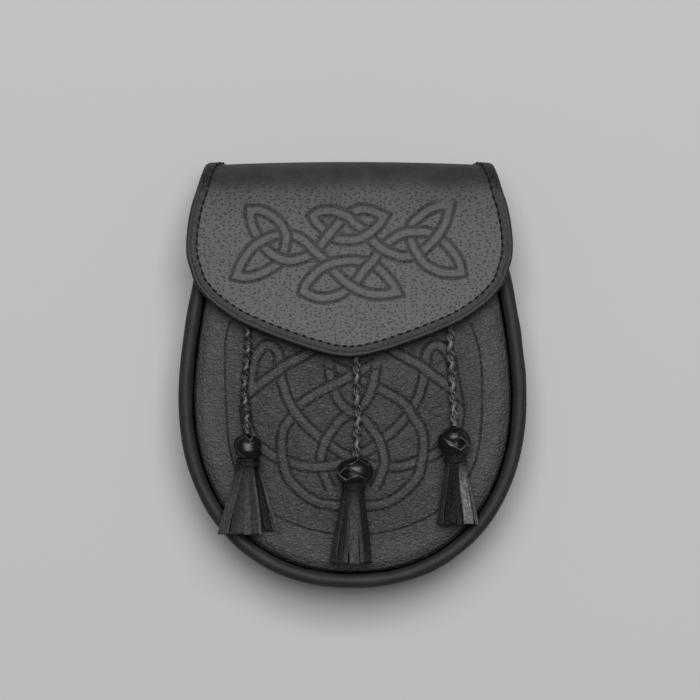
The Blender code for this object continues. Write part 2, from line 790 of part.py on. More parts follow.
def skirt_section(side, share):
    """The middle, half-width and half-thickness of a skirt's outer form at a share of its length."""
    hem_share, left_share, right_share, thickness_share = SKIRTS[side]
    hem_x = (left_share + right_share) / 2 * BODY_WIDTH / 2
    hem_half = (right_share - left_share) / 2 * BODY_WIDTH / 2
    hem_depth = thickness_share * SKIRT_THICKNESS / 2
    start, end = knot_axis(side)
    top_up = end[1] - GAP + OVERALL_LENGTH / 2
    up = top_up * (1 - share) + hem_share * OVERALL_LENGTH * share
    x = end[0] * (1 - share) + hem_x * share
    neck = SKIRT_NECK_WIDTH / 2
    spread = share**SKIRT_SPREAD_POWER
    half = neck * (1 - spread) + hem_half * spread
    fall = (1 - share) ** SKIRT_FALL_POWER
    depth = neck * fall + hem_depth * (1 - fall)
    above = (end[2] - lying_z(end[0], top_up)) * fall + (hem_depth + 2 * GAP) * (1 - fall)
    return (x, up, above), half, depth


def strip_section(side, number, share):
    """The four corners of one strip at a share of its length. Half the strips lie on the others."""
    (x, up, above), half, depth = skirt_section(side, share)
    half -= STRIP_LEATHER / 4
    depth -= STRIP_LEATHER / 2
    layer = 1 if number % 2 else -1
    columns = SKIRT_STRIPS // 2
    place = (2 * (number // 2) + 1) / columns - 1
    lean = math.asin(SKIRT_CROWN * place)
    tangent = np.array((half, -layer * depth * SKIRT_CROWN * math.tan(lean)))
    tangent /= np.linalg.norm(tangent)
    normal = np.array((-tangent[1], tangent[0]))
    wide = half / columns * STRIP_SHARE
    across, height = half * place, layer * depth * math.cos(lean)
    middle_z = lying_z(x + across, up) + above + height
    corners = []
    for along, out in ((-1, -1), (1, -1), (1, 1), (-1, 1)):
        offset = along * wide * tangent + out * STRIP_LEATHER / 2 * normal
        corners.append((x + across + offset[0], y_of(up), middle_z + offset[1]))
    return corners


def add_skirt(name, side, finish):
    """A tassel's cut strips, fused to the short roll of leather that the knot grips."""
    (x, up, above), half, depth = skirt_section(side, 0)
    (low_x, low_up, low_above), _, low_depth = skirt_section(side, SKIRT_NECK_SHARE)
    z, low_z = lying_z(x, up) + above, lying_z(low_x, low_up) + low_above
    profile = [(half + STRIP_LEATHER / 3, 0.0), (half + STRIP_LEATHER / 4, 1.0)]

    def place(across, height, share):
        middle_x, middle_up = x + (low_x - x) * share, up + (low_up - up) * share
        flatter = 1 - share + share * low_depth / half
        return (middle_x + across, y_of(middle_up), z + (low_z - z) * share + height * flatter)

    made = add_turned(name, profile, SKIRT_NECK_SIDES, finish, place)
    for number in range(SKIRT_STRIPS):
        uneven = (number * 5 % 7) / 6
        shares = list(STRIP_SECTIONS)
        shares[0] += STRIP_START_SPREAD * uneven
        shares[-1] -= STRIP_END_SPREAD * uneven
        sections = [strip_section(side, number, share) for share in shares]
        strip = add_bar(f"strip_{side}_{number}", sections, finish)
        strip.hide_render = True
        strip.display_type = "WIRE"
        boolean = made.modifiers.new(f"strip_{number}", "BOOLEAN")
        boolean.operation = "UNION"
        boolean.object = strip
    return made


def main():
    for old in list(bpy.data.objects):
        bpy.data.objects.remove(old)
    body_leather = material("body_leather", (0.055, 0.055, 0.058), 0.5)
    flap_leather = material("flap_leather", (0.10, 0.10, 0.105), 0.5)
    rim_leather = material("rim_leather", (0.04, 0.038, 0.037), 0.4)
    thong_leather = material("thong_leather", (0.02, 0.02, 0.021), 0.35)
    stud_metal = material("stud_metal", (0.5, 0.5, 0.5), 0.3)
    add_front_panel(body_leather)
    add_gusset(body_leather)
    add_back_panel(body_leather)
    add_piping("front_piping", FRONT_SEAM_Z, rim_leather)
    add_piping("back_piping", BACK_SEAM_Z, rim_leather)
    add_flap(flap_leather)
    add_flap_binding(flap_leather)
    add_press_stud(stud_metal)
    add_belt_loop("belt_loop_left", -LOOP_SPACING / 2, rim_leather)
    add_belt_loop("belt_loop_right", LOOP_SPACING / 2, rim_leather)
    for side, route in THONG_ROUTES.items():
        add_thong(f"thong_{side}", route, thong_leather)
        add_knot(f"knot_{side}", side, thong_leather)
        add_skirt(f"skirt_{side}", side, thong_leather)


main()
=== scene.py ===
"""A black leather day sporran, dressed for its picture: it lies on its back, seen from straight above."""

import math

import bmesh
import bpy
import numpy as np
from mathutils.kdtree import KDTree
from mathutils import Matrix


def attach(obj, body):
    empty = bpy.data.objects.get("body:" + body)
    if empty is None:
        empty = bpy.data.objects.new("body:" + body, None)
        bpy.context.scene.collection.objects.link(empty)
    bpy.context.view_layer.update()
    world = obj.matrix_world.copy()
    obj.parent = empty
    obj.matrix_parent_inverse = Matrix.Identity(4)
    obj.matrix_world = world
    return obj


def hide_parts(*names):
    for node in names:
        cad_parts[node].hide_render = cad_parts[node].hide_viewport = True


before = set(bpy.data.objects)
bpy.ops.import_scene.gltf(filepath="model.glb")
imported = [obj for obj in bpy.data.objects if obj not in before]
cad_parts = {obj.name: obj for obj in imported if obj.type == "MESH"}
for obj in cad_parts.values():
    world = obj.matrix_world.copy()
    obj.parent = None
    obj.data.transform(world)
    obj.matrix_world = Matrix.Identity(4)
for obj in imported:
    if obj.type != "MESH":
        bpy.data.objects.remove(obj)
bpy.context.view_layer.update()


# The camera.
# It looks straight down on the front from far off, so that high and low parts keep the same scale.

VIEW_WIDTH = 0.35
VIEW_DISTANCE = 1.6
VIEW_LEVEL = 0.04
VIEW_MIDDLE = (-0.00125, 0.0122)

lens = bpy.data.cameras.new("camera")
lens.sensor_width = 36
lens.lens = lens.sensor_width * VIEW_DISTANCE / VIEW_WIDTH
camera = bpy.data.objects.new("camera", lens)
camera.location = (*VIEW_MIDDLE, VIEW_LEVEL + VIEW_DISTANCE)
bpy.context.scene.collection.objects.link(camera)
bpy.context.scene.camera = camera


# The braided thongs.
# Each is plaited from four narrow black laces and hangs from a hole in the front.
# Its lower end goes into the knot of its tassel.

THONG_DIAMETER = 0.0045
LACE_WIDTH = 0.0030
THONG_RINGS_APART = 0.0002
THONG_SIDES = 56
THONG_COLOUR = (0.012, 0.012, 0.0126)
THONG_PITCH = {"left": 0.0170, "centre": 0.0215, "right": 0.0205}
# How much lighter each thong is painted on its lace crowns and rims: a painted highlight as well as wear.
THONG_SHEEN_AND_WEAR = {"left": 0.90, "centre": 1.02, "right": 1.05}
# Shares of the thong's radius: its core between the laces, and where the laces run.
THONG_CORE = 0.56
LACE_REACH = 0.85
# Shares of a lace's half width between which its rim lies, and how worn the rim is.
LACE_RIM_FROM = 0.55
LACE_RIM_TO = 0.80
LACE_RIM_WEAR = 0.84
# How much of a lace's height comes from its own crown. The rest comes from passing over another.
LACE_CROWN = 0.56
# Below this share of its full height, a lace is given painted shade.
PAINTED_SHADE_BELOW = 0.4
# The points that each thong follows, in millimetres, from its hole to its knot.
THONG_POINTS = {
    "left": (
        (-51.5, 46.2, 33.8), (-51.6, 43.2, 36.8), (-51.7, 40.5, 40.1), (-51.9, 37.1, 42.6),
        (-52.1, 33.1, 43.8), (-52.2, 28.9, 43.9), (-52.2, 24.7, 43.7), (-52.2, 20.4, 43.5),
        (-52.1, 16.2, 43.5), (-52.2, 12.0, 43.6), (-52.6, 7.8, 43.6), (-53.1, 3.6, 43.5),
        (-53.5, -0.6, 43.5), (-53.8, -4.8, 43.5), (-53.9, -9.0, 43.6), (-53.5, -13.2, 43.6),
        (-53.0, -17.4, 44.0), (-52.6, -21.4, 45.4), (-52.5, -25.3, 46.8), (-52.6, -29.5, 47.3),
    ),
    "centre": (
        (2.1, 31.7, 35.7), (2.1, 28.8, 38.5), (2.1, 26.2, 41.6), (2.1, 23.0, 44.1), (2.1, 19.2, 45.4),
        (2.1, 15.1, 45.4), (2.1, 11.0, 45.2), (2.1, 7.0, 45.1), (2.1, 2.9, 45.1), (2.1, -1.1, 45.1),
        (2.1, -5.2, 45.1), (2.1, -9.2, 45.1), (2.3, -13.3, 45.1), (2.8, -17.3, 45.1), (2.9, -21.4, 45.1),
        (2.4, -25.4, 45.3), (2.3, -29.3, 46.1), (2.4, -33.2, 47.4), (2.1, -37.1, 48.6), (1.7, -41.1, 48.8),
    ),
    "right": (
        (48.7, 46.2, 33.9), (48.8, 43.4, 36.8), (48.9, 40.7, 39.8), (48.9, 37.6, 42.3),
        (49.0, 33.9, 43.8), (49.0, 29.9, 44.0), (49.0, 25.8, 43.9), (49.0, 21.8, 43.6),
        (48.8, 17.8, 43.6), (48.7, 13.8, 43.6), (48.9, 9.8, 43.6), (49.3, 5.8, 43.6), (49.7, 1.8, 43.6),
        (49.9, -2.3, 43.6), (50.0, -6.3, 43.7), (50.1, -10.3, 44.0), (50.3, -14.2, 44.8),
        (50.5, -18.0, 46.3), (50.6, -21.7, 47.7), (50.5, -25.7, 48.2),
    ),
}


def add_surface(name, points, faces, finish, smooth=True):
    """A mesh object in the scene, with one finish."""
    mesh = bpy.data.meshes.new(name)
    corners = [tuple(face) for face in np.asarray(faces, dtype=object)]
    mesh.from_pydata(np.asarray(points).tolist(), [], corners)
    if smooth:
        mesh.shade_smooth()
    mesh.materials.append(finish)
    made = bpy.data.objects.new(name, mesh)
    bpy.context.scene.collection.objects.link(made)
    return made


def grid_quads(rows, columns, closed=False):
    """The four-cornered faces of a grid of points, round on itself across the columns if closed."""
    row = np.arange(rows - 1)[:, None]
    column = np.arange(columns if closed else columns - 1)[None, :]
    after = (column + 1) % columns
    this, next_one = row * columns, (row + 1) * columns
    corners = [this + column, this + after, next_one + after, next_one + column]
    return np.stack(np.broadcast_arrays(*corners), axis=-1).reshape(-1, 4)


def tube_faces(rings, sides, start=0, turned=False):
    """The faces of a tube of rings of points with both ends closed, facing the other way if turned."""
    faces = (grid_quads(rings, sides, closed=True) + start).tolist()
    last = start + (rings - 1) * sides
    faces += [list(range(start, start + sides))[::-1], list(range(last, last + sides))]
    return [face[::-1] for face in faces] if turned else faces


def paint(made, name, values):
    """Keeps one number for each point of a mesh, for its finish to read."""
    kept = made.data.attributes.new(name, "FLOAT", "POINT")
    kept.data.foreach_set("value", np.ravel(values).astype(np.float32))


def smooth_line(points, step):
    """Points an even step apart on a smooth curve through the given ones."""
    points = np.asarray(points, dtype=float)
    reach = np.concatenate([[0], np.cumsum(np.linalg.norm(np.diff(points, axis=0), axis=1))])
    slopes = np.gradient(points, reach, axis=0)
    at = np.linspace(0, reach[-1], max(int(round(reach[-1] / step)), 2) + 1)
    row = np.clip(np.searchsorted(reach, at, side="right") - 1, 0, len(points) - 2)
    width = (reach[row + 1] - reach[row])[:, None]
    t = ((at - reach[row]) / width[:, 0])[:, None]
    steady = (2 * t**3 - 3 * t**2 + 1) * points[row] + (3 * t**2 - 2 * t**3) * points[row + 1]
    return steady + width * ((t**3 - 2 * t**2 + t) * slopes[row] + (t**3 - t**2) * slopes[row + 1])


def line_frames(line):
    """For each point of a line, one direction level with the floor and one that looks away from it."""
    along = np.gradient(line, axis=0)
    along /= np.linalg.norm(along, axis=1)[:, None]
    level = np.cross(along, (0, 0, 1))
    level /= np.linalg.norm(level, axis=1)[:, None]
    return level, np.cross(level, along)


def plait_height(turn, along, girth, pitch, width, squareness):
    """How high a plait's four laces stand, from 0 in the gaps to 1, and how near a lace's edge is."""
    slope = math.atan2(2 * math.pi * girth, pitch)
    count = 4 * along / pitch
    height = np.zeros(np.broadcast(turn, along).shape)
    edge = np.zeros_like(height)
    for way in (1, -1):
        over = way * np.cos(math.pi * count)
        for strand in range(2):
            middle = way * 2 * math.pi * (along / pitch + strand / 2)
            across = (turn - middle + math.pi) % (2 * math.pi) - math.pi
            reach = np.abs(across) * girth * math.cos(slope) / (width / 2)
            crown = np.clip(1 - reach**squareness, 0, 1) ** 0.5
            level = np.where(reach < 1, LACE_CROWN * crown + (1 - LACE_CROWN) / 2 * (1 + over), 0)
            edge = np.where(level > height, reach, edge)
            height = np.maximum(height, level)
    return height, edge


def leather(name, colour, roughness, specular=0.5):
    """A material with its shader, its texture coordinates in millimetres, and a shorthand to add nodes."""
    made = bpy.data.materials.new(name)
    made.use_nodes = True
    nodes, links = made.node_tree.nodes, made.node_tree.links
    shader = nodes["Principled BSDF"]
    shader.inputs["Base Color"].default_value = (*colour, 1)
    shader.inputs["Roughness"].default_value = roughness
    shader.inputs["Specular IOR Level"].default_value = specular

    def add(kind, inputs=(), **settings):
        node = nodes.new(kind)
        for setting, value in settings.items():
            setattr(node, setting, value)
        for socket, value in dict(inputs).items():
            if isinstance(value, bpy.types.NodeSocket):
                links.new(value, node.inputs[socket])
            else:
                node.inputs[socket].default_value = value
        return node

    place = add("ShaderNodeTexCoord").outputs["Object"]
    grow = add("ShaderNodeVectorMath", {0: place, 1: (1000, 1000, 1000)}, operation="MULTIPLY")
    return made, shader, add, links, grow.outputs[0]


def tone(colour, share):
    """A colour made darker or lighter by a share."""
    return tuple(share * part for part in colour)


def painted(add, name):
    """The number that paint kept for each point of a mesh."""
    return add("ShaderNodeAttribute", attribute_name=name).outputs["Fac"]


def noise(add, place, scale, detail, roughness=0.5, distortion=0.0):
    """A cloudy value."""
    kind = {"Scale": scale, "Detail": detail, "Roughness": roughness, "Distortion": distortion}
    return add("ShaderNodeTexNoise", {"Vector": place, **kind}).outputs["Fac"]


def reckon(add, operation, first, second=0.0, third=0.0):
    """A value worked out from others."""
    return add("ShaderNodeMath", {0: first, 1: second, 2: third}, operation=operation).outputs[0]


def relief(add, height, strength, distance, invert=False, **over):
    """A surface that rises and falls with a value, over another such surface if one is given."""
    inputs = {"Height": height, "Strength": strength, "Distance": distance}
    return add("ShaderNodeBump", {**inputs, **over}, invert=invert).outputs["Normal"]


def ramp(add, value, low, high, from_value=0.0, to_value=1.0):
    """A value that goes smoothly from one number to another as its source goes from low to high."""
    node = add(
        "ShaderNodeMapRange",
        {"Value": value, "From Min": low, "From Max": high, "To Min": from_value, "To Max": to_value},
        interpolation_type="SMOOTHSTEP",
    )
    return node.outputs["Result"]


def blend(add, share, first, second):
    """A colour between two, by a share."""
    colours = [(*colour, 1) if isinstance(colour, tuple) else colour for colour in (first, second)]
    return add("ShaderNodeMix", {0: share, 6: colours[0], 7: colours[1]}, data_type="RGBA").outputs[2]


def add_thong(side, points):
    """One thong as a plaited tube, closed at both ends."""
    line = smooth_line(np.array(points) / 1000, THONG_RINGS_APART)
    level, away = line_frames(line)
    reach = np.concatenate([[0], np.cumsum(np.linalg.norm(np.diff(line, axis=0), axis=1))])
    turn = np.linspace(0, 2 * math.pi, THONG_SIDES, endpoint=False)[None, :]
    radius = THONG_DIAMETER / 2
    girth = radius * LACE_REACH
    height, edge = plait_height(turn, reach[:, None], girth, THONG_PITCH[side], LACE_WIDTH, 2)
    out = radius * (THONG_CORE + (1 - THONG_CORE) * height)
    ring = np.cos(turn)[..., None] * level[:, None] + np.sin(turn)[..., None] * away[:, None]
    grid = line[:, None] + out[..., None] * ring
    faces = tube_faces(len(line), THONG_SIDES)
    made = add_surface(f"thong_line_{side}", grid.reshape(-1, 3), faces, thong_finish)
    # Painted shade in the gaps between the laces.
    paint(made, "painted_shade", np.clip(1 - height / PAINTED_SHADE_BELOW, 0, 1))
    # Lighter on the crowns of the laces, a painted highlight, and on their rims, from wear.
    rims = np.where((edge > LACE_RIM_FROM) & (edge < LACE_RIM_TO), LACE_RIM_WEAR, 0)
    paint(made, "edge", THONG_SHEEN_AND_WEAR[side] * np.maximum(height, rims))
    return made, line, float(reach[-1])


def lace_leather(name, colour, roughness, worn_colour, edge_from):
    """Waxed black lace leather: painted shade in its hollows, lighter along the edges of its laces from wear, and on a
    thong's ridges lighter again, which is a painted highlight as well as wear.
    """
    made, shader, add, links, place = leather(name, colour, roughness, 0.4)
    painted_shade = painted(add, "painted_shade")
    edge = painted(add, "edge")
    cloud = noise(add, place, 0.8, 4.0)
    worn_more = ramp(add, cloud, 0.35, 0.65, 0.25, 1.0)
    # Lighter on lace rims from wear, and on a thong's ridges also as a painted highlight.
    rubbed = ramp(add, edge, edge_from, edge_from + 0.14)
    share = reckon(add, "MULTIPLY", rubbed, worn_more)
    worn = blend(add, share, colour, worn_colour)
    # Painted shade in the hollows between the laces.
    with_painted_shade = blend(add, ramp(add, painted_shade, 0.35, 0.75), worn, tone(colour, 0.2))
    mottled = blend(add, ramp(add, cloud, 0.35, 0.7, 0.0, 0.35), with_painted_shade, tone(colour, 1.8))
    links.new(mottled, shader.inputs["Base Color"])
    grain = noise(add, place, 3.0, 3.0)
    bump = relief(add, grain, 0.5, 0.0002)
    links.new(bump, shader.inputs["Normal"])
    return made


thong_finish = lace_leather("thong_leather_worn", THONG_COLOUR, 0.32, (0.150, 0.150, 0.153), 0.75)
thongs = {side: add_thong(side, points) for side, points in THONG_POINTS.items()}


# The knots.
# Each is tied from broad black laces that pass over and under each other round the thong's end.
# The knot grips the thong above and the tassel below.

KNOT_STEPS = 110
KNOT_SIDES = 160
KNOT_RELIEF = 0.0019
KNOT_LACE_REACH = 0.42
KNOT_SMOOTH_ENDS = 0.08
KNOTS = {
    # name: (upper end, lower end, width, thickness, pitch, lace width, turn of its weave), in metres
    "left": ((-0.0526, -0.0301, 0.0473), (-0.0516, -0.0431, 0.0476), 0.0150, 0.0130, 0.034, 0.0096, 0.3),
    "centre": ((0.0016, -0.0417, 0.0488), (0.0009, -0.0552, 0.0488), 0.0185, 0.0135, 0.030, 0.0078, 1.0),
    "right": ((0.0505, -0.0263, 0.0482), (0.0507, -0.0413, 0.0483), 0.0165, 0.0145, 0.032, 0.0084, 2.0),
}
KNOT_PROFILE = (
    # (share of the length, share of half the width)
    (0.00, 0.34),
    (0.07, 0.62),
    (0.24, 0.91),
    (0.50, 1.00),
    (0.76, 0.90),
    (0.93, 0.66),
    (1.00, 0.48),
)


def read_table(table, at):
    """A smooth reading of a two-column table."""
    columns = np.array(table)
    given, values = columns[:, 0], columns[:, 1]
    slopes = np.gradient(values, given)
    at = np.clip(at, given[0], given[-1])
    row = np.clip(np.searchsorted(given, at, side="right") - 1, 0, len(given) - 2)
    width = given[row + 1] - given[row]
    t = (at - given[row]) / width
    steady = (2 * t**3 - 3 * t**2 + 1) * values[row] + (3 * t**2 - 2 * t**3) * values[row + 1]
    return steady + width * ((t**3 - 2 * t**2 + t) * slopes[row] + (t**3 - t**2) * slopes[row + 1])


def add_knot(side, upper, lower, width, thickness, pitch, lace_width, twist):
    """A round knot with its laces standing out of its body."""
    upper, lower = np.array(upper), np.array(lower)
    share = np.linspace(0, 1, KNOT_STEPS)[:, None]
    turn = np.linspace(0, 2 * math.pi, KNOT_SIDES, endpoint=False)[None, :]
    length = np.linalg.norm(lower - upper)
    radius = width / 2 * read_table(KNOT_PROFILE, share)
    girth = KNOT_LACE_REACH * width
    height, edge = plait_height(turn + twist, share * length, girth, pitch, lace_width, 6)
    fade = np.sin(math.pi * np.clip(share, KNOT_SMOOTH_ENDS, 1 - KNOT_SMOOTH_ENDS))
    out = radius - KNOT_RELIEF * (1 - height) * fade
    grid = (upper + (lower - upper) * share)[:, None] + np.zeros((KNOT_STEPS, KNOT_SIDES, 3))
    grid[..., 0] += out * np.cos(turn)
    grid[..., 2] += out * np.sin(turn) * thickness / width
    faces = tube_faces(KNOT_STEPS, KNOT_SIDES, turned=True)
    made = add_surface(f"knot_woven_{side}", grid.reshape(-1, 3), faces, knot_finish)
    # Painted shade in the gaps between the laces.
    paint(made, "painted_shade", np.clip(1 - height / PAINTED_SHADE_BELOW, 0, 1))
    paint(made, "edge", edge)
    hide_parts(f"knot_{side}")
    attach(made, "root")
    return made


knot_finish = lace_leather("knot_leather_waxed", (0.004, 0.004, 0.0043), 0.22, (0.130, 0.130, 0.133), 0.80)
knots = {side: add_knot(side, *sizes) for side, sizes in KNOTS.items()}


# The tassels.
# Each is a rolled piece of thin black leather, cut into narrow strips below its neck.
# The strips fan out and lie on the front and over the piping.

FRONT_SEAM_Z = 0.036
PIPING_WIDTH = 0.0075
PANEL_INSET = 0.0081
BODY_WIDTH = 0.175
BODY_LENGTH = 0.2146
WIDEST_UP = 0.097
RIM_ROUNDNESS = 2.2
SHOULDER_TAPER = 0.0075
SHOULDER_LENGTH = 0.0575
TAPER_POWER = 1.6
FRONT_SHOULDER_RISE = 0.003
FRONT_SHOULDER_WIDTH = 0.006
FRONT_DOME = 0.0035
STRIP_THICKNESS = 0.0011
STRIP_STEPS = 34
STRIP_HIDDEN = 0.0015
NECK_WIDTH = 0.0124
NECK_THICKNESS = 0.0095
NECK_SHARE = 0.12
NECK_ROUND = 0.83
STRIP_SWAY = 0.0003
STRIP_REST = 0.0006
ROOT_WIDTH = 0.62
MOST_LIGHTENED = 2.0
COLLAR_SIDES = 48
COLLAR_REACH = 0.42
COLLAR = (
    # (metres down from the knot's end, share of the collar's width)
    (-0.0006, 0.75),
    (0.0002, 0.98),
    (0.0009, 1.04),
    (0.0016, 1.06),
    (0.0023, 1.03),
    (0.0027, 0.85),
)
TASSELS = {
    # name: (neck, y of the hem, thickness at the hem, spread), in metres
    # The spread is how far to the side a strip's end lies that starts at the neck's side.
    "left": ((-0.0516, -0.0434, 0.0476), -0.0800, 0.0062, 0.0160),
    "centre": ((0.0009, -0.0555, 0.0488), -0.0945, 0.0064, 0.0115),
    "right": ((0.0507, -0.0416, 0.0483), -0.0755, 0.0062, 0.0115),
}
STRIP_SECTION = (
    # (share of half the width, share of half the thickness, how near a cut edge) going round the strip
    (-1.00, -0.5, 0.6),
    (-1.00, 0.5, 1.0),
    (-0.90, 1.0, 1.0),
    (-0.72, 1.1, 0.1),
    (0.00, 1.2, 0.0),
    (0.72, 1.1, 0.1),
    (0.90, 1.0, 1.0),
    (1.00, 0.5, 1.0),
    (1.00, -0.5, 0.6),
    (0.90, -1.0, 0.2),
    (-0.90, -1.0, 0.2),
)
TASSEL_STRIPS = {
    # name: first the upper layer, then the lower one, with one row for each strip:
    # (x of its end, how much shorter it is, width, roll, lift, how much lighter it is painted), in millimetres and
    # degrees.
    # A value above 0 paints the strip lighter, up to the most the finish allows, and one below 0 gives the strip
    # painted shade.
    "left": (
        ((-64.8, 0.4, 5.5, 7, 0.3, 0.34), (-59.5, 0.2, 4.0, -3, 0.0, 0.06), (-55.9, 0.5, 3.9, 2, 0.3, 0.22),
         (-52.2, 0.1, 3.8, -2, 0.5, 0.50), (-48.8, 0.4, 3.6, 3, 0.2, 0.12), (-45.6, 0.0, 1.6, -10, 0.7, 0.80),
         (-37.0, 1.6, 1.7, -24, 0.6, 0.70)),
        ((-64.0, 1.3, 3.6, 0, 0.0, 0.0), (-60.4, 0.9, 3.6, 0, 0.0, 0.0), (-56.8, 1.3, 3.6, 0, 0.0, 0.0),
         (-53.2, 0.8, 3.6, 0, 0.0, 0.0), (-49.6, 1.2, 3.6, 0, 0.0, 0.0), (-46.0, 0.9, 3.6, 0, 0.0, 0.0),
         (-42.0, 1.6, 4.2, -6, 0.0, 0.0)),
    ),
    "centre": (
        ((-9.9, 0.6, 3.6, 9, 0.0, -0.35), (-6.3, 0.1, 3.5, -4, 0.2, -0.60), (-3.3, 0.5, 2.4, 5, 0.0, 0.22),
         (0.9, 0.1, 5.0, -2, 0.6, 0.55), (4.6, 0.4, 1.9, 5, 0.3, 0.40), (7.8, 0.5, 4.6, -7, 0.0, -0.80)),
        ((-9.0, 1.0, 3.4, 0, 0.0, 0.0), (-5.6, 0.6, 3.4, 0, 0.0, 0.0), (-2.2, 1.1, 3.4, 0, 0.0, 0.0),
         (1.2, 0.6, 3.4, 0, 0.0, 0.0), (4.6, 1.2, 3.4, 0, 0.0, 0.0), (8.0, 0.9, 3.4, 0, 0.0, 0.0)),
    ),
    "right": (
        ((43.6, 0.6, 3.3, 11, 0.0, -0.40), (46.9, 0.0, 3.2, -5, 0.1, -0.90), (50.2, 0.8, 3.2, 5, 0.0, -0.75),
         (53.4, 0.4, 3.2, -4, 0.2, -0.60), (57.9, 1.0, 5.4, 3, 0.9, 2.0), (62.4, 0.6, 1.8, -14, 0.4, 0.90)),
        ((44.6, 1.0, 3.4, 0, 0.0, 0.0), (47.9, 0.6, 3.4, 0, 0.0, 0.0), (51.2, 1.1, 3.4, 0, 0.0, 0.0),
         (54.5, 0.8, 3.4, 0, 0.0, 0.0), (57.8, 1.6, 3.4, 0, 0.0, 0.0), (61.0, 1.2, 3.2, 0, 0.0, 0.0)),
    ),
}


def half_width(up):
    """Half the pouch's width at a height up from its lowest point."""
    above = np.clip(up - WIDEST_UP, 0, None) / SHOULDER_LENGTH
    below = np.clip(1 - np.clip(up, 0, None) / WIDEST_UP, 0, 1)
    wide = BODY_WIDTH / 2 - SHOULDER_TAPER * above**TAPER_POWER
    return np.where(up >= WIDEST_UP, wide, BODY_WIDTH / 2 * (1 - below**RIM_ROUNDNESS) ** (1 / RIM_ROUNDNESS))


def inside_front(x, up):
    """About how far a point of the front lies inside the panel's edge."""
    half, tall = BODY_WIDTH / 2 - PANEL_INSET, WIDEST_UP - PANEL_INSET
    across = np.clip(half_width(up) - PANEL_INSET - np.abs(x), 0, None)
    down = np.clip(WIDEST_UP - up, 0, None)
    spread = ((np.abs(x) / half) ** RIM_ROUNDNESS + (down / tall) ** RIM_ROUNDNESS) ** (1 / RIM_ROUNDNESS)
    reach = np.hypot(x, down)
    below = np.where(spread > 0.02, reach * (1 / np.maximum(spread, 0.02) - 1), half)
    return np.where(up >= WIDEST_UP, across, np.clip(below, 0, None))


def front_height(x, up):
    """The height of the pouch's front."""
    inside = inside_front(x, up)
    rise = FRONT_SHOULDER_RISE * np.sin(np.minimum(inside / FRONT_SHOULDER_WIDTH, 1) * math.pi / 2)
    share = np.minimum(inside / (BODY_WIDTH / 2 - PANEL_INSET), 1)
    return FRONT_SEAM_Z + rise + FRONT_DOME * (1 - (1 - share) ** 2)


def resting_height(x, up):
    """The height of what the tassels lie on, which is the front or the piping."""
    return np.maximum(front_height(x, up), FRONT_SEAM_Z + PIPING_WIDTH / 2)


def strip_rings(sizes, layer, number, strip):
    """The rings of points of one strip, from under the knot to its cut end."""
    neck, hem_y, hem_thickness, spread = sizes
    end_x, short, wide, lift = (strip[column] / 1000 for column in (0, 1, 2, 4))
    roll = math.radians(strip[3])
    share = np.linspace(0, 1, STRIP_STEPS)
    fan = np.clip((end_x - neck[0]) / spread, -0.92, 0.92)
    root_x = neck[0] + 0.45 * NECK_WIDTH * fan
    fall = (1 - share) ** 1.5
    y = neck[1] + STRIP_HIDDEN * fall + (hem_y + short - neck[1]) * share
    parting = (np.clip(share - NECK_SHARE, 0, 1) / (1 - NECK_SHARE)) ** 1.05
    x = root_x + (end_x - root_x) * parting + STRIP_SWAY * np.sin(7 * share + 2.1 * number) * share
    neck_above = neck[2] - float(resting_height(neck[0], neck[1] + BODY_LENGTH / 2))
    middle = neck_above * fall + (hem_thickness / 2 + STRIP_REST) * (1 - fall)
    thickness = NECK_THICKNESS * fall + hem_thickness * (1 - fall) - STRIP_THICKNESS
    depth = thickness / 2 * math.sqrt(1 - (NECK_ROUND * fan) ** 2)
    ripple = STRIP_SWAY * np.sin(5 * share + 1.7 * number)
    z = resting_height(x, y + BODY_LENGTH / 2) + middle + layer * depth + (lift + ripple) * share
    lean = -layer * math.asin(NECK_ROUND * fan) * (0.85 - 0.65 * share) + roll * share
    half = wide / 2 * (ROOT_WIDTH + (1 - ROOT_WIDTH) * share**0.7)
    rings = []
    for across, over, _ in STRIP_SECTION:
        at, out = across * half, over * STRIP_THICKNESS / 2
        moved = (x + at * np.cos(lean) - out * np.sin(lean), y, z + at * np.sin(lean) + out * np.cos(lean))
        rings.append(np.stack(moved, axis=1))
    return np.stack(rings, axis=1)


def collar_rings(neck):
    """The rings of points of the collar that hides the strips' upper ends."""
    turn = np.linspace(0, 2 * math.pi, COLLAR_SIDES, endpoint=False)
    rings = []
    for down, wide in COLLAR:
        x = neck[0] + COLLAR_REACH * NECK_WIDTH * wide * np.cos(turn)
        z = neck[2] - 0.10 * down + NECK_THICKNESS / 2 * wide * np.sin(turn) * 0.98
        rings.append(np.stack([x, np.full(COLLAR_SIDES, neck[1] - down), z], axis=1))
    return np.concatenate(rings)


def face_outwards(made):
    """Turns every face of a closed mesh outwards."""
    shape = bmesh.new()
    shape.from_mesh(made.data)
    bmesh.ops.recalc_face_normals(shape, faces=shape.faces)
    shape.to_mesh(made.data)
    shape.free()


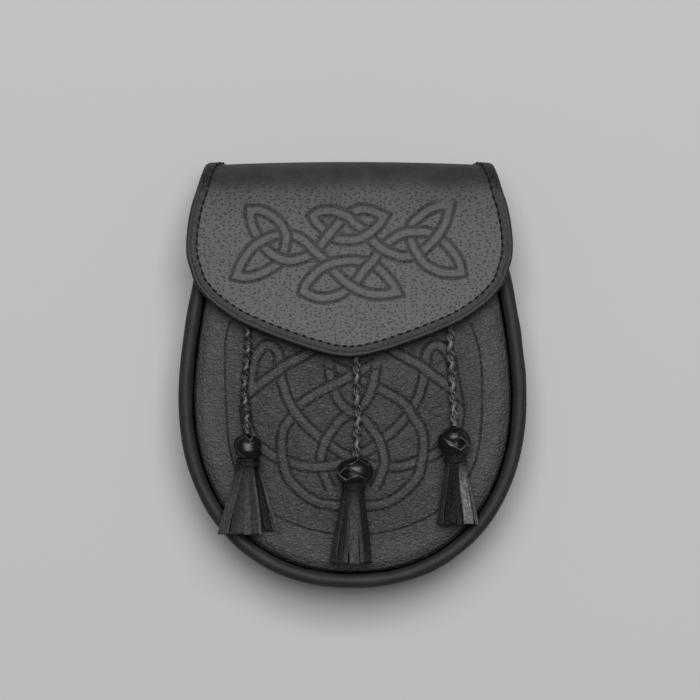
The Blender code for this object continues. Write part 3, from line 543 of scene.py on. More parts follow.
def add_tassel(side):
    """The collar and all the strips of a tassel, as one piece."""
    points, faces = [], []
    looks = {"painted_shade": [], "edge": [], "rubbed": [], "streak": []}
    sides = len(STRIP_SECTION)
    section = np.tile(np.array(STRIP_SECTION), (STRIP_STEPS, 1))
    share = np.repeat(np.linspace(0, 1, STRIP_STEPS), sides)
    for layer, strips in zip((1, -1), TASSEL_STRIPS[side]):
        for number, strip in enumerate(strips):
            wide, rub = strip[2], strip[5]
            # Painted shade: on strips that lie in the shade, on the whole lower layer, and under the knot at the top of
            # every strip.
            shaded = max(-rub, 0.0) if layer > 0 else 0.6
            under_knot = 0.9 * np.exp(-((share / 0.2) ** 2))
            looks["painted_shade"].append(0.3 + 0.4 * np.maximum(shaded, under_knot))
            looks["edge"].append(section[:, 2] * (1.0 if layer > 0 else 0.4))
            # Some strips of the upper layer are painted lighter, more towards their ends.
            looks["rubbed"].append(max(rub, 0.0) * np.clip(0.25 + 1.5 * share, 0, 1))
            looks["streak"].append(section[:, 0] * wide / 2 + 7.3 * number + 60 * (layer > 0))
            faces += tube_faces(STRIP_STEPS, sides, start=len(points) * STRIP_STEPS * sides)
            points.append(strip_rings(TASSELS[side], layer, number + 3 * layer, strip).reshape(-1, 3))
    faces += tube_faces(len(COLLAR), COLLAR_SIDES, start=len(points) * STRIP_STEPS * sides)
    points.append(collar_rings(TASSELS[side][0]))
    turn = np.linspace(0, 2 * math.pi, COLLAR_SIDES, endpoint=False)
    # The collar gets painted shade like the lower layer.
    for name, value in (("painted_shade", 0.6), ("edge", 0.3), ("rubbed", 0.1)):
        looks[name].append(np.full(COLLAR_SIDES * len(COLLAR), value))
    looks["streak"].append(np.tile(turn * NECK_WIDTH * 500, len(COLLAR)))
    made = add_surface(f"tassel_{side}", np.concatenate(points), faces, tassel_finish)
    face_outwards(made)
    for name, values in looks.items():
        paint(made, name, np.concatenate(values))
    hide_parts(f"skirt_{side}")
    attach(made, "root")
    return made


def strip_leather(name, colour, roughness, rubbed_colour):
    """Thin cut leather with its grain drawn out along each strip, rubbed lighter along the cut edges, painted lighter
    on some strips and with painted shade where a strip lies in the shade.
    """
    made, shader, add, links, place = leather(name, colour, roughness, 0.2)
    painted_shade = painted(add, "painted_shade")
    edge = painted(add, "edge")
    rubbed = painted(add, "rubbed")
    streak = painted(add, "streak")
    height = add("ShaderNodeSeparateXYZ", {"Vector": place}).outputs["Y"]
    slow = reckon(add, "MULTIPLY", height, 0.10)
    flat = add("ShaderNodeCombineXYZ", {"X": streak, "Y": slow}).outputs[0]
    drawn = noise(add, flat, 0.9, 4.0, 0.65)
    grain = noise(add, place, 0.7, 4.0, 0.7)
    share = reckon(add, "MULTIPLY", rubbed, 1 / MOST_LIGHTENED)
    light = blend(add, share, colour, tone(rubbed_colour, MOST_LIGHTENED))
    drawn_light = blend(add, ramp(add, drawn, 0.44, 0.60, 0.0, 0.6), light, tone(colour, 3.5))
    cut = blend(add, ramp(add, edge, 0.5, 0.95, 0.0, 0.85), drawn_light, tone(rubbed_colour, 0.8))
    speckled = blend(add, ramp(add, grain, 0.42, 0.58, 0.55, 0.0), cut, tone(colour, 0.6))
    # Painted shade on shaded strips, the lower layer, the collar and under the knot.
    with_painted_shade = blend(add, ramp(add, painted_shade, 0.3, 0.7), speckled, tone(colour, 0.3))
    links.new(with_painted_shade, shader.inputs["Base Color"])
    first = relief(add, drawn, 0.6, 0.0005)
    second = add("ShaderNodeBump", {"Height": grain, "Strength": 0.8, "Distance": 0.0009, "Normal": first})
    links.new(second.outputs["Normal"], shader.inputs["Normal"])
    return made


tassel_finish = strip_leather("tassel_leather_cut", (0.0150, 0.0150, 0.0156), 0.36, (0.125, 0.125, 0.132))
tassels = {side: add_tassel(side) for side in TASSELS}
for side, (thong, line, reach) in thongs.items():
    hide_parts(f"thong_{side}")
    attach(thong, "root")


# The front of the pouch.
# It is one piece of fine pebbled black leather, sewn to the welt and domed by what the pouch holds.
# A knot of interlaced bands and a long line round it are pressed into it.

PANEL_LEATHER = 0.002
MOUTH_UP = 0.178
PANEL_COLUMNS = 290
FRONT_COLOUR = (0.050, 0.050, 0.052)
BAND_HALF_WIDTH = 2.5
LINE_STEP = 0.25
PRESSED_WIDTH = 0.62
RIM_GROOVE_DEPTH = 0.0010
RIM_GROOVE_WIDTH = 0.65
MIRROR_X = 0.0
# The middle lines of the bands, in millimetres from the middle of the pouch. A new row starts at a sharp corner.
FRONT_BANDS = {
    "outer": (
        ((-16.2, 14.7), (-29.1, 6.7), (-33.2, 4.7), (-37.8, 1.2), (-42.0, -1.8), (-47.4, -5.8),
         (-52.2, -9.8)),
        ((-52.2, -9.8), (-50.2, 1.2), (-49.2, 7.2), (-46.2, 12.2), (-42.2, 14.7), (-38.2, 12.2),
         (-36.5, 6.2), (-35.4, -3.3), (-34.2, -7.3), (-32.8, -11.8), (-30.2, -16.5), (-26.8, -21.5),
         (-22.9, -25.8), (-18.9, -29.5), (-14.5, -33.1), (-9.1, -37.3), (-4.2, -40.0), (0.8, -42.5),
         (5.8, -44.5), (11.8, -46.0), (18.8, -46.5), (25.8, -45.8), (33.2, -43.3), (40.8, -40.3),
         (47.8, -34.8), (52.2, -26.8), (53.8, -15.3)),
    ),
    "inner": (
        ((-11.8, 4.7), (-9.8, -6.3), (-6.2, -14.3), (0.0, -19.3), (5.8, -22.8), (9.9, -27.8), (13.2, -32.8),
         (15.2, -38.8), (16.0, -43.8), (14.2, -50.3), (11.2, -56.8)),
    ),
}
FRONT_LOOP = (
    (11.2, 5.2), (-3.8, -2.5), (-12.8, -7.0), (-20.2, -11.0), (-26.2, -15.3), (-30.8, -22.1),
    (-33.8, -26.1), (-35.4, -32.1), (-35.6, -37.0), (-34.6, -44.1), (-32.8, -50.8), (-28.9, -55.8),
    (-23.1, -61.0), (-16.4, -64.5), (-8.6, -65.8), (0.0, -66.5),
)
FRONT_OVERS = (
    # (x, y, the band on top), in millimetres
    (-27.2, -17.8, "outer"),
    (28.8, -19.3, "loop"),
    (-12.2, -34.3, "inner_mirrored"),
    (-13.8, -46.8, "outer_mirrored"),
    (-33.8, -46.3, "loop"),
    (16.2, -46.3, "inner"),
    (37.2, -44.3, "loop"),
    (12.2, -6.8, "inner_mirrored"),
    (-9.8, -7.8, "loop"),
    (12.2, -34.3, "inner"),
    (0.0, -41.8, "outer"),
    (0.0, -19.3, "inner"),
)
FRONT_CREASE = (
    (-61.0, 27.0), (-63.2, 19.7), (-63.8, 9.7), (-63.7, -2.8), (-63.2, -17.8), (-62.2, -31.8),
    (-59.8, -43.8), (-55.8, -53.8), (-48.2, -63.8), (-38.0, -70.8), (-23.8, -76.8), (-9.2, -79.8),
    (2.2, -80.3), (13.8, -79.3), (27.8, -75.8), (42.2, -68.8), (52.8, -58.8), (60.2, -46.8),
    (63.2, -36.8), (64.4, -26.8), (64.7, -17.3), (64.6, 1.7), (62.8, 14.7), (59.2, 25.2),
)


def band(rows):
    """A band's middle line as points, directions and distances along it, with the places of its sharp corners."""
    points, ways, corners, total = [], [], [], 0.0
    reaches = []
    for row in rows:
        line = smooth_line(row, LINE_STEP)
        way = np.gradient(line, axis=0)
        way /= np.linalg.norm(way, axis=1)[:, None]
        reach = total + np.concatenate([[0], np.cumsum(np.linalg.norm(np.diff(line, axis=0), axis=1))])
        corners.append((line[0], way[0], line[-1], way[-1], total, reach[-1]))
        total = reach[-1]
        points.append(line)
        ways.append(way)
        reaches.append(reach)
    return {
        "points": np.concatenate(points),
        "ways": np.concatenate(ways),
        "reaches": np.concatenate(reaches),
        "rows": corners,
        "length": total,
        "closed": bool(np.linalg.norm(points[0][0] - points[-1][-1]) < 1),
    }


def band_crossings(first, second, same):
    """Where two bands cross: the place and the distance along each."""
    every = 4
    a, b = first["points"][::every], second["points"][::every]
    at_a, at_b = first["reaches"][::every], second["reaches"][::every]
    step_a, step_b = np.diff(a, axis=0), np.diff(b, axis=0)
    gap = b[None, :-1] - a[:-1, None]
    size = step_a[:, None, 0] * step_b[None, :, 1] - step_a[:, None, 1] * step_b[None, :, 0]
    size = np.where(np.abs(size) < 1e-9, 1e-9, size)
    s = (gap[..., 0] * step_b[None, :, 1] - gap[..., 1] * step_b[None, :, 0]) / size
    t = (gap[..., 0] * step_a[:, None, 1] - gap[..., 1] * step_a[:, None, 0]) / size
    found = []
    for i, j in zip(*np.nonzero((s >= 0) & (s < 1) & (t >= 0) & (t < 1))):
        if np.hypot(*step_a[i]) > 3 or np.hypot(*step_b[j]) > 3:
            continue
        if same and (j <= i or abs(at_b[j] - at_a[i]) < 12 or first["closed"] and first["length"] - at_b[j] + at_a[i] < 12):
            continue
        found.append((a[i] + s[i, j] * step_a[i], at_a[i], at_b[j]))
    return found


def pressed_lines(bands, choose_over):
    """The visible edges of interlaced bands, as points. choose_over says which band is on top at a crossing."""
    names = list(bands)
    crossings = []
    for i, first in enumerate(names):
        for second in names[i:]:
            for place, at_first, at_second in band_crossings(bands[first], bands[second], first == second):
                crossings.append((place, (first, at_first), (second, at_second)))
    overs = choose_over(crossings)
    shown = []
    for name in names:
        line = bands[name]
        aside = np.stack([-line["ways"][:, 1], line["ways"][:, 0]], axis=1)
        edges, at = [], []
        for side in (1, -1):
            edges.append(line["points"] + side * BAND_HALF_WIDTH * aside)
            at.append(line["reaches"])
        rows = line["rows"]
        pairs = list(zip(rows, rows[1:])) + ([(rows[-1], rows[0])] if line["closed"] else [])
        for before, after in pairs:
            corner, way_in, way_out = before[2], before[3], after[1]
            turn = way_in[0] * way_out[1] - way_in[1] * way_out[0]
            bend = math.atan2(abs(turn), float(np.dot(way_in, way_out)))
            side = -1 if turn > 0 else 1
            run = np.arange(0, min(BAND_HALF_WIDTH * math.tan(bend / 2), 3 * BAND_HALF_WIDTH), LINE_STEP)[:, None]
            for way, sign in ((way_in, 1), (way_out, -1)):
                start = corner + side * BAND_HALF_WIDTH * np.array([-way[1], way[0]])
                edges.append(start + sign * run * way)
                at.append(np.full(len(run), before[5] - 0.01 if sign > 0 else after[4] + 0.01))
        edges, at = np.concatenate(edges), np.concatenate(at)
        keep = np.ones(len(edges), dtype=bool)
        for other in names:
            over_line = bands[other]
            apart = np.linalg.norm(edges[:, None] - over_line["points"][None], axis=2)
            inside = apart < BAND_HALF_WIDTH - 0.1
            if other == name:
                along = np.abs(at[:, None] - over_line["reaches"][None])
                if line["closed"]:
                    along = np.minimum(along, line["length"] - along)
                keep &= ~(inside & (along < 12)).any(axis=1)
                inside &= along >= 12
            for row in np.nonzero(inside.any(axis=1) & keep)[0]:
                over_at = over_line["reaches"][np.argmin(np.where(inside[row], apart[row], 99))]
                best, hidden = 1e9, False
                for (place, first, second), first_over in zip(crossings, overs):
                    for mine, theirs, mine_over in ((first, second, first_over), (second, first, not first_over)):
                        if mine[0] != name or theirs[0] != other:
                            continue
                        far = abs(mine[1] - at[row]) + abs(theirs[1] - over_at)
                        if far < best:
                            best, hidden = far, not mine_over
                if best < 24 and hidden:
                    keep[row] = False
        shown.append(edges[keep])
    return np.concatenate(shown)


def nearest(points, places):
    """The distance from each place to the nearest of the points, all flat."""
    tree = KDTree(len(points))
    for number, (x, y) in enumerate(points):
        tree.insert((x, y, 0), number)
    tree.balance()
    return np.array([tree.find((x, y, 0))[2] for x, y in places])


def tooling(places, edges, middles, margin=6.0):
    """For each place, the distance to a pressed line and how far inside a band it is, from 0 to 1."""
    line = np.full(len(places), 9.0)
    inside = np.zeros(len(places))
    low, high = edges.min(axis=0) - margin, edges.max(axis=0) + margin
    near = np.nonzero(((places > low) & (places < high)).all(axis=1))[0]
    line[near] = nearest(edges, places[near])
    middle = nearest(middles, places[near])
    inside[near] = np.clip(1 - middle / BAND_HALF_WIDTH, 0, 1)
    return line, inside


def rim_line(inset, top_up):
    """The pouch's outline on its right side, from the bottom up, moved inwards, as (x, up)."""
    angle = np.linspace(0, math.pi / 2, 300)
    low = np.stack(
        [
            BODY_WIDTH / 2 * np.sin(angle) ** (2 / RIM_ROUNDNESS),
            WIDEST_UP * (1 - np.cos(angle) ** (2 / RIM_ROUNDNESS)),
        ],
        axis=1,
    )
    ups = np.linspace(WIDEST_UP, top_up, 80)[1:]
    fine = np.concatenate([low, np.stack([half_width(ups), ups], axis=1)])
    along = np.gradient(fine, axis=0)
    along /= np.linalg.norm(along, axis=1)[:, None]
    along[0] = (1, 0)
    fine = fine + inset * np.stack([-along[:, 1], along[:, 0]], axis=1)
    fine[0, 0] = 0
    return fine


def add_sheet(name, outer, inner_offset, finish, thin=8):
    """A leather sheet: a fine outer face, a coarse inner one and a wall round the edge."""
    rows, columns = outer.shape[:2]
    inner = outer + inner_offset
    pick_rows = np.unique(np.append(np.arange(0, rows, thin), rows - 1))
    pick_columns = np.unique(np.append(np.arange(0, columns, thin), columns - 1))
    lining = inner[np.ix_(pick_rows, pick_columns)]
    border = np.concatenate(
        [
            np.arange(columns),
            np.arange(1, rows) * columns + columns - 1,
            (rows - 1) * columns + np.arange(columns - 2, -1, -1),
            np.arange(rows - 2, 0, -1) * columns,
        ]
    )
    start, wall = rows * columns, len(border)
    after = np.roll(np.arange(wall), -1)
    wall_faces = np.stack([border[after], border, start + np.arange(wall), start + after], axis=1)
    lining_start = start + wall
    lining_faces = grid_quads(len(pick_rows), len(pick_columns))[:, ::-1] + lining_start
    points = np.concatenate([outer.reshape(-1, 3), inner.reshape(-1, 3)[border], lining.reshape(-1, 3)])
    faces = np.concatenate([grid_quads(rows, columns), wall_faces, lining_faces])
    picked = (pick_rows[:, None] * columns + pick_columns[None, :]).ravel()
    return add_surface(name, points, faces, finish), np.concatenate([np.arange(rows * columns), border, picked])


def on_face(values, source, elsewhere):
    """Numbers for a sheet's outer face, with another number on its edge and its inner face."""
    return np.where(np.arange(len(source)) < len(values), values[source], elsewhere)


def choose_front(crossings):
    """Which band lies on top at each crossing of the front, from the table."""
    chosen = []
    for place, first, second in crossings:
        far = [math.hypot(place[0] - x, place[1] - y) for x, y, name in FRONT_OVERS]
        name = FRONT_OVERS[int(np.argmin(far))][2]
        chosen.append(name == first[0] if name in (first[0], second[0]) and min(far) < 7 else True)
    return chosen


def mirrored(rows):
    """The same rows of points on the other side of the pressed knot's middle line."""
    return [[(2 * MIRROR_X - x, y) for x, y in row] for row in rows]


def add_front():
    """The front with its pressed bands and line."""
    rows = dict(FRONT_BANDS)
    for name, lines in FRONT_BANDS.items():
        rows[f"{name}_mirrored"] = mirrored(lines)
    rows["loop"] = [list(FRONT_LOOP) + mirrored([FRONT_LOOP])[0][-2::-1]]
    bands = {name: band(lines) for name, lines in rows.items()}
    edges = pressed_lines(bands, choose_front)
    middles = np.concatenate([line["points"] for line in bands.values()])
    edge = rim_line(PANEL_INSET, MOUTH_UP)
    lowest = edge[0, 1]
    ups = np.concatenate(
        [lowest + np.linspace(0, 1, 16)[:-1] ** 2 * 0.007, np.arange(lowest + 0.007, 0.150, 0.0006), np.linspace(0.150, MOUTH_UP, 16)]
    )
    half = np.interp(ups, edge[:, 1], edge[:, 0])
    across = np.linspace(-1, 1, PANEL_COLUMNS)
    x = half[:, None] * across
    up = np.repeat(ups[:, None], PANEL_COLUMNS, axis=1)
    y = up - BODY_LENGTH / 2
    places = np.stack([x.ravel(), y.ravel()], axis=1) * 1000
    line, inside = tooling(places, edges, middles)
    crease = smooth_line(FRONT_CREASE, LINE_STEP)
    line = np.minimum(line, np.minimum(1.35 * nearest(crease, places), 9.0))
    pressed = np.exp(-((line / PRESSED_WIDTH) ** 2))
    crown = 1 - (1 - inside) ** 2
    from_rim = inside_front(x, up).ravel() * 1000
    sunk = RIM_GROOVE_DEPTH * np.exp(-((from_rim / RIM_GROOVE_WIDTH) ** 2))
    z = front_height(x, up).ravel() + (0.22 * crown - 0.60 * pressed) / 1000 - sunk
    grid = np.stack([x.ravel(), y.ravel(), z], axis=1).reshape(*x.shape, 3)
    made, source = add_sheet("front_face", grid, np.array((0, 0, -PANEL_LEATHER)), front_finish)
    paint(made, "line", on_face(line, source, 9.0))
    paint(made, "band", on_face(np.minimum(3 * inside, 1), source, 0.0))
    paint(made, "rim", on_face(from_rim, source, 0.0))
    return made


def pebbled_leather(name, colour, roughness, line_depth):
    """Fine pebbled leather with short level wrinkles, darker in its pressed lines, with painted shade in the seam
    groove at its rim and painted light on a band just inside the rim.
    """
    made, shader, add, links, place = leather(name, colour, roughness, 0.35)
    line = painted(add, "line")
    inside = painted(add, "band")
    rim = painted(add, "rim")
    cloud = noise(add, place, 0.06, 5.0, 0.6)
    stretched = add("ShaderNodeVectorMath", {0: place, 1: (0.70, 1.0, 1.0)}, operation="MULTIPLY").outputs[0]
    bent = add("ShaderNodeTexNoise", {"Vector": stretched, "Scale": 0.7, "Detail": 2.0}).outputs["Color"]
    moved = add("ShaderNodeVectorMath", {0: bent, 1: (1.1, 1.1, 1.1), 2: stretched}, operation="MULTIPLY_ADD").outputs[0]
    pebble = add("ShaderNodeTexVoronoi", {"Vector": moved, "Scale": 0.62}, feature="DISTANCE_TO_EDGE").outputs["Distance"]
    wrinkle = add("ShaderNodeTexNoise", {"Vector": stretched, "Scale": 0.34, "Detail": 3.0, "Distortion": 0.9}).outputs["Fac"]
    domed = ramp(add, pebble, 0.0, 0.34)
    cracked = ramp(add, pebble, 0.02, 0.22, 0.5, 0.0)
    low = blend(add, cracked, colour, tone(colour, 0.3))
    folded = blend(add, ramp(add, wrinkle, 0.38, 0.56, 0.36, 0.0), low, tone(colour, 0.45))
    # Painted light: a band just inside the rim is made lighter, standing in for light that reaches the front's edges.
    outer = blend(add, ramp(add, rim, 8.0, 24.0, 0.5, 0.0), folded, tone(colour, 1.5))
    patchy = blend(add, ramp(add, cloud, 0.35, 0.70, 0.0, 0.4), outer, tone(colour, 1.4))
    tooled = blend(add, ramp(add, line, 0.3, 0.95, line_depth, 0.0), patchy, tone(colour, 0.15))
    # Painted shade in the seam groove beside the piping.
    seam_painted_shade = blend(add, ramp(add, rim, 0.4, 1.5, 0.6, 0.0), tooled, tone(colour, 0.05))
    links.new(seam_painted_shade, shader.inputs["Base Color"])
    calm = reckon(add, "MULTIPLY_ADD", inside, -0.35, 1.0)
    rough = reckon(add, "MULTIPLY", domed, calm)
    first = relief(add, rough, 0.7, 0.0005)
    steady = reckon(add, "MULTIPLY_ADD", inside, -0.5, 0.9)
    second = add("ShaderNodeBump", {"Height": wrinkle, "Strength": steady, "Distance": 0.0011, "Normal": first})
    links.new(second.outputs["Normal"], shader.inputs["Normal"])
    return made


front_finish = pebbled_leather("body_leather_pebbled", FRONT_COLOUR, 0.52, 0.92)
front = add_front()
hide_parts("front_panel")
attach(front, "root")


# The piping.
# A cord covered with thin smooth black leather is sewn into each seam, round the front and round the back.

BACK_SEAM_Z = 0.00375
PIPING_TOP_UP = 0.188
PIPING_SIDES = 24
PIPING_STATIONS = 420


def even_rim(inset, top_up, stations):
    """Evenly spaced points round the whole rim, from the left top to the right top, and their outward directions."""
    half = rim_line(inset, top_up)
    whole = np.concatenate([half[:0:-1] * (-1, 1), half])
    reach = np.concatenate([[0], np.cumsum(np.linalg.norm(np.diff(whole, axis=0), axis=1))])
    at = np.linspace(0, reach[-1], stations)
    path = np.stack([np.interp(at, reach, whole[:, 0]), np.interp(at, reach, whole[:, 1])], axis=1)
    along = np.gradient(path, axis=0)
    along /= np.linalg.norm(along, axis=1)[:, None]
    return path, np.stack([along[:, 1], -along[:, 0]], axis=1), at


def add_piping(name, node, seam_z):
    """One piping, with the slight pulls of a leather strip that is bent round a curve."""
    path, out, at = even_rim(PIPING_WIDTH / 2, PIPING_TOP_UP, PIPING_STATIONS)
    turn = np.linspace(0, 2 * math.pi, PIPING_SIDES, endpoint=False)[None, :]
    pull = 0.00007 * np.sin(at / 0.0043 + 2 * np.sin(at / 0.031))[:, None] * (1 + np.sin(3 * turn + at[:, None] / 0.02))
    radius = PIPING_WIDTH / 2 - 0.00018 + pull
    across, height = radius * np.cos(turn), radius * np.sin(turn)
    x = path[:, :1] + across * out[:, :1]
    y = path[:, 1:] + across * out[:, 1:] - BODY_LENGTH / 2
    grid = np.stack([x, y, seam_z + height], axis=-1)
    faces = grid_quads(len(path), PIPING_SIDES, closed=True)[:, ::-1].tolist()
    faces.append(list(range(PIPING_SIDES)))
    faces.append(list(range((len(path) - 1) * PIPING_SIDES, len(path) * PIPING_SIDES))[::-1])
    made = add_surface(name, grid.reshape(-1, 3), faces, piping_finish)
    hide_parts(node)
    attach(made, "root")
    return made


def smooth_leather(name, colour, worn_colour, roughness):
    """Smooth black leather with a soft gloss, a little rubbed and warm where the dye is thin."""
    made, shader, add, links, place = leather(name, colour, roughness, 0.32)
    cloud = noise(add, place, 0.09, 6.0, 0.65)
    speck = noise(add, place, 1.1, 4.0)
    rubbed = blend(add, ramp(add, cloud, 0.42, 0.72, 0.0, 0.7), colour, worn_colour)
    mottled = blend(add, ramp(add, speck, 0.4, 0.7, 0.0, 0.3), rubbed, tone(colour, 0.5))
    links.new(mottled, shader.inputs["Base Color"])
    bump = relief(add, speck, 0.5, 0.0003)
    links.new(bump, shader.inputs["Normal"])
    return made


piping_finish = smooth_leather("rim_leather_smooth", (0.0178, 0.0171, 0.0167), (0.0285, 0.0260, 0.0245), 0.58)
add_piping("piping_front", "front_piping", FRONT_SEAM_Z)
add_piping("piping_back", "back_piping", BACK_SEAM_Z)


# The side wall.
# A long strip of the same pebbled leather joins front and back, and folds in a little along its middle.

WALL_ROWS = 24
WALL_STATIONS = 420
WALL_LEATHER = 0.002
WALL_LOW_Z = 0.0078
WALL_HIGH_Z = 0.0320
WALL_FOLD = 0.0015


def add_side_wall():
    """The side wall as a sheet with shallow upright puckers from its seams."""
    path, out, at = even_rim(PIPING_WIDTH / 2, PIPING_TOP_UP, WALL_STATIONS)
    share = np.linspace(0, 1, WALL_ROWS)[:, None]
    pucker = 0.0002 * np.sin(at / 0.0031 + 1.5 * np.sin(at / 0.023))[None, :] * np.abs(np.cos(math.pi * share))
    depth = WALL_FOLD * np.sin(math.pi * share) ** 0.8 - WALL_LEATHER / 2 + 0.0002 + pucker
    x = path[None, :, 0] - depth * out[None, :, 0]
    y = path[None, :, 1] - depth * out[None, :, 1] - BODY_LENGTH / 2
    z = np.broadcast_to(WALL_LOW_Z + (WALL_HIGH_Z - WALL_LOW_Z) * share, x.shape)
    made = add_surface("side_wall", np.stack([x, y, z], axis=-1).reshape(-1, 3), grid_quads(WALL_ROWS, WALL_STATIONS), wall_finish)
    solid = made.modifiers.new("leather", "SOLIDIFY")
    solid.thickness = WALL_LEATHER
    solid.offset = -1
    paint(made, "line", np.full(WALL_ROWS * WALL_STATIONS, 9.0))
    paint(made, "band", np.zeros(WALL_ROWS * WALL_STATIONS))
    paint(made, "rim", np.full(WALL_ROWS * WALL_STATIONS, 9.0))
    return made


wall_finish = pebbled_leather("body_leather_wall", (0.036, 0.036, 0.038), 0.5, 0.0)
side_wall = add_side_wall()
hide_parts("gusset")
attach(side_wall, "root")


# The back of the pouch.
# It is a plain piece of the same leather, dished between the seams where the belt loops are sewn on.

BACK_TOP_UP = 0.192
BACK_FLAT_Z = 0.0031
BACK_DISH = 0.0042
BACK_FLAT_MARGIN = 0.006
BACK_DISH_SLOPE = 0.024
LOOP_MIDDLE_UP = 0.128
LOOP_LENGTH = 0.058
BACK_ROWS = 150
BACK_COLUMNS = 130


def back_height(x, up):
    """The height of the back's outer face, which looks down."""
    across = np.minimum(np.maximum(inside_front(x, up) - BACK_FLAT_MARGIN, 0) / BACK_DISH_SLOPE, 1)
    along = np.maximum(1 - np.maximum(np.abs(up - LOOP_MIDDLE_UP) - LOOP_LENGTH / 2, 0) / BACK_DISH_SLOPE, 0)
    return BACK_FLAT_Z + BACK_DISH * (3 * across**2 - 2 * across**3) * (3 * along**2 - 2 * along**3)


def add_back():
    """The back as a sheet."""
    edge = rim_line(PANEL_INSET, BACK_TOP_UP)
    lowest = edge[0, 1]
    ups = lowest + (BACK_TOP_UP - lowest) * np.linspace(0, 1, BACK_ROWS) ** 1.5
    half = np.interp(ups, edge[:, 1], edge[:, 0])
    x = half[:, None] * np.linspace(1, -1, BACK_COLUMNS)
    up = np.repeat(ups[:, None], BACK_COLUMNS, axis=1)
    grid = np.stack([x, up - BODY_LENGTH / 2, back_height(x, up)], axis=-1)
    made, source = add_sheet("back_face", grid, np.array((0, 0, PANEL_LEATHER)), wall_finish, thin=6)
    paint(made, "line", np.full(len(source), 9.0))
    paint(made, "band", np.zeros(len(source)))
    paint(made, "rim", on_face(inside_front(x, up).ravel() * 1000, source, 0.0))
    return made


back = add_back()
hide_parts("back_panel")
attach(back, "root")


# The belt loops.
# Two straps of thick smooth leather stand on the back, each sewn down across both ends with black waxed thread.

LOOP_WIDTH = 0.014
LOOP_FOOT = 0.010
LOOP_BEND = 0.005
LOOP_SPACING = 0.066
LOOP_LEATHER = 0.0022
LOOP_STITCH_ROWS = (0.0025, 0.0075)
LOOP_STITCH_PITCH = 0.0034
STITCH_LENGTH = 0.0023
STITCH_WIDTH = 0.0011


def add_belt_loop(side, middle_x):
    """One loop, with eased edges."""
    seat = float(back_height(np.array(middle_x), np.array(LOOP_MIDDLE_UP))) - 0.0003
    half, inner = LOOP_LENGTH / 2, LOOP_LENGTH / 2 - LOOP_FOOT
    foot = np.linspace(-half, -inner, 5)
    bend = np.linspace(-inner, -inner + LOOP_BEND, 7)[1:]
    span = np.linspace(-inner + LOOP_BEND, 0, 6)[1:]
    along = np.concatenate([foot, bend, span])
    along = np.concatenate([along, -along[-2::-1]])
    drop = np.clip((inner - np.abs(along)) / LOOP_BEND, 0, 1)
    upper = seat - (seat - LOOP_LEATHER - 0.0001) * (3 * drop**2 - 2 * drop**3)
    # (share of half the width, share of the thickness) going round the strap
    ring = ((-1, 0.25), (-1, 0.75), (-0.93, 1.0), (0.93, 1.0), (1, 0.75), (1, 0.25), (0.93, 0.0),
            (-0.93, 0.0))
    points = [
        (middle_x + across * LOOP_WIDTH / 2, LOOP_MIDDLE_UP + at - BODY_LENGTH / 2, top - LOOP_LEATHER * (1 - share))
        for at, top in zip(along, upper)
        for across, share in ring
    ]
    faces = grid_quads(len(along), len(ring), closed=True).tolist()
    faces.append(list(range(len(ring)))[::-1])
    faces.append(list(range((len(along) - 1) * len(ring), len(along) * len(ring))))
    made = add_surface(f"loop_strap_{side}", points, [face[::-1] for face in faces], loop_finish, smooth=False)
    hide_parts(f"belt_loop_{side}")
    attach(made, "root")
    return seat - LOOP_LEATHER


def add_stitches(name, middles, ways, outwards):
    """Stitches of waxed thread, each a short rounded bar half sunk into the leather."""
    around = np.linspace(0, 2 * math.pi, 8, endpoint=False)
    lengths = np.array([-0.5, -0.44, -0.2, 0.2, 0.44, 0.5]) * STITCH_LENGTH
    radii = np.array([0.25, 0.75, 1.0, 1.0, 0.75, 0.25]) * STITCH_WIDTH / 2
    asides = np.cross(ways, outwards)
    turned = np.cos(around)[:, None] * asides[:, None] + np.sin(around)[:, None] * outwards[:, None]
    line = middles[:, None] + lengths[:, None] * ways[:, None]
    rings = line[:, :, None] + radii[:, None, None] * turned[:, None]
    faces = []
    for start in range(0, len(middles) * 48, 48):
        faces += (grid_quads(6, 8, closed=True) + start).tolist()
        faces.append(list(range(start, start + 8))[::-1])
        faces.append(list(range(start + 40, start + 48)))
    made = add_surface(name, rings.reshape(-1, 3), [face[::-1] for face in faces], thread_finish)
    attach(made, "root")
    return made


def waxed_thread(name, colour):
    """Waxed black thread, twisted."""
    made, shader, add, links, place = leather(name, colour, 0.5, 0.2)
    twist = add("ShaderNodeTexWave", {"Vector": place, "Scale": 1.2, "Distortion": 1.0}).outputs["Fac"]
    shaded = blend(add, ramp(add, twist, 0.2, 0.8, 0.0, 0.6), colour, tone(colour, 2.2))
    links.new(shaded, shader.inputs["Base Color"])
    bump = relief(add, twist, 0.6, 0.0001)
    links.new(bump, shader.inputs["Normal"])
    return made


loop_finish = smooth_leather("loop_leather_thick", (0.026, 0.025, 0.0245), (0.040, 0.036, 0.033), 0.46)
thread_finish = waxed_thread("thread_black", (0.003, 0.003, 0.0033))
stitch_middles = []
for side, middle_x in (("left", -LOOP_SPACING / 2), ("right", LOOP_SPACING / 2)):
    outer_z = add_belt_loop(side, middle_x)
    for row_in in LOOP_STITCH_ROWS:
        for end in (-1, 1):
            row_y = LOOP_MIDDLE_UP + end * (LOOP_LENGTH / 2 - row_in) - BODY_LENGTH / 2
            stitch_middles += [(middle_x + number * LOOP_STITCH_PITCH, row_y, outer_z) for number in (-1.5, -0.5, 0.5, 1.5)]
stitch_middles = np.array(stitch_middles)
level = np.broadcast_to((1.0, 0.0, 0.0), stitch_middles.shape)
loop_stitches = add_stitches("loop_stitches", stitch_middles, level, np.broadcast_to((0.0, 0.0, -1.0), level.shape))


# The flap.
# One thicker sheet of firm leather with a dimpled grain is folded over the top and sewn to the back.
# One endless band, interlaced with itself, is pressed into its middle.

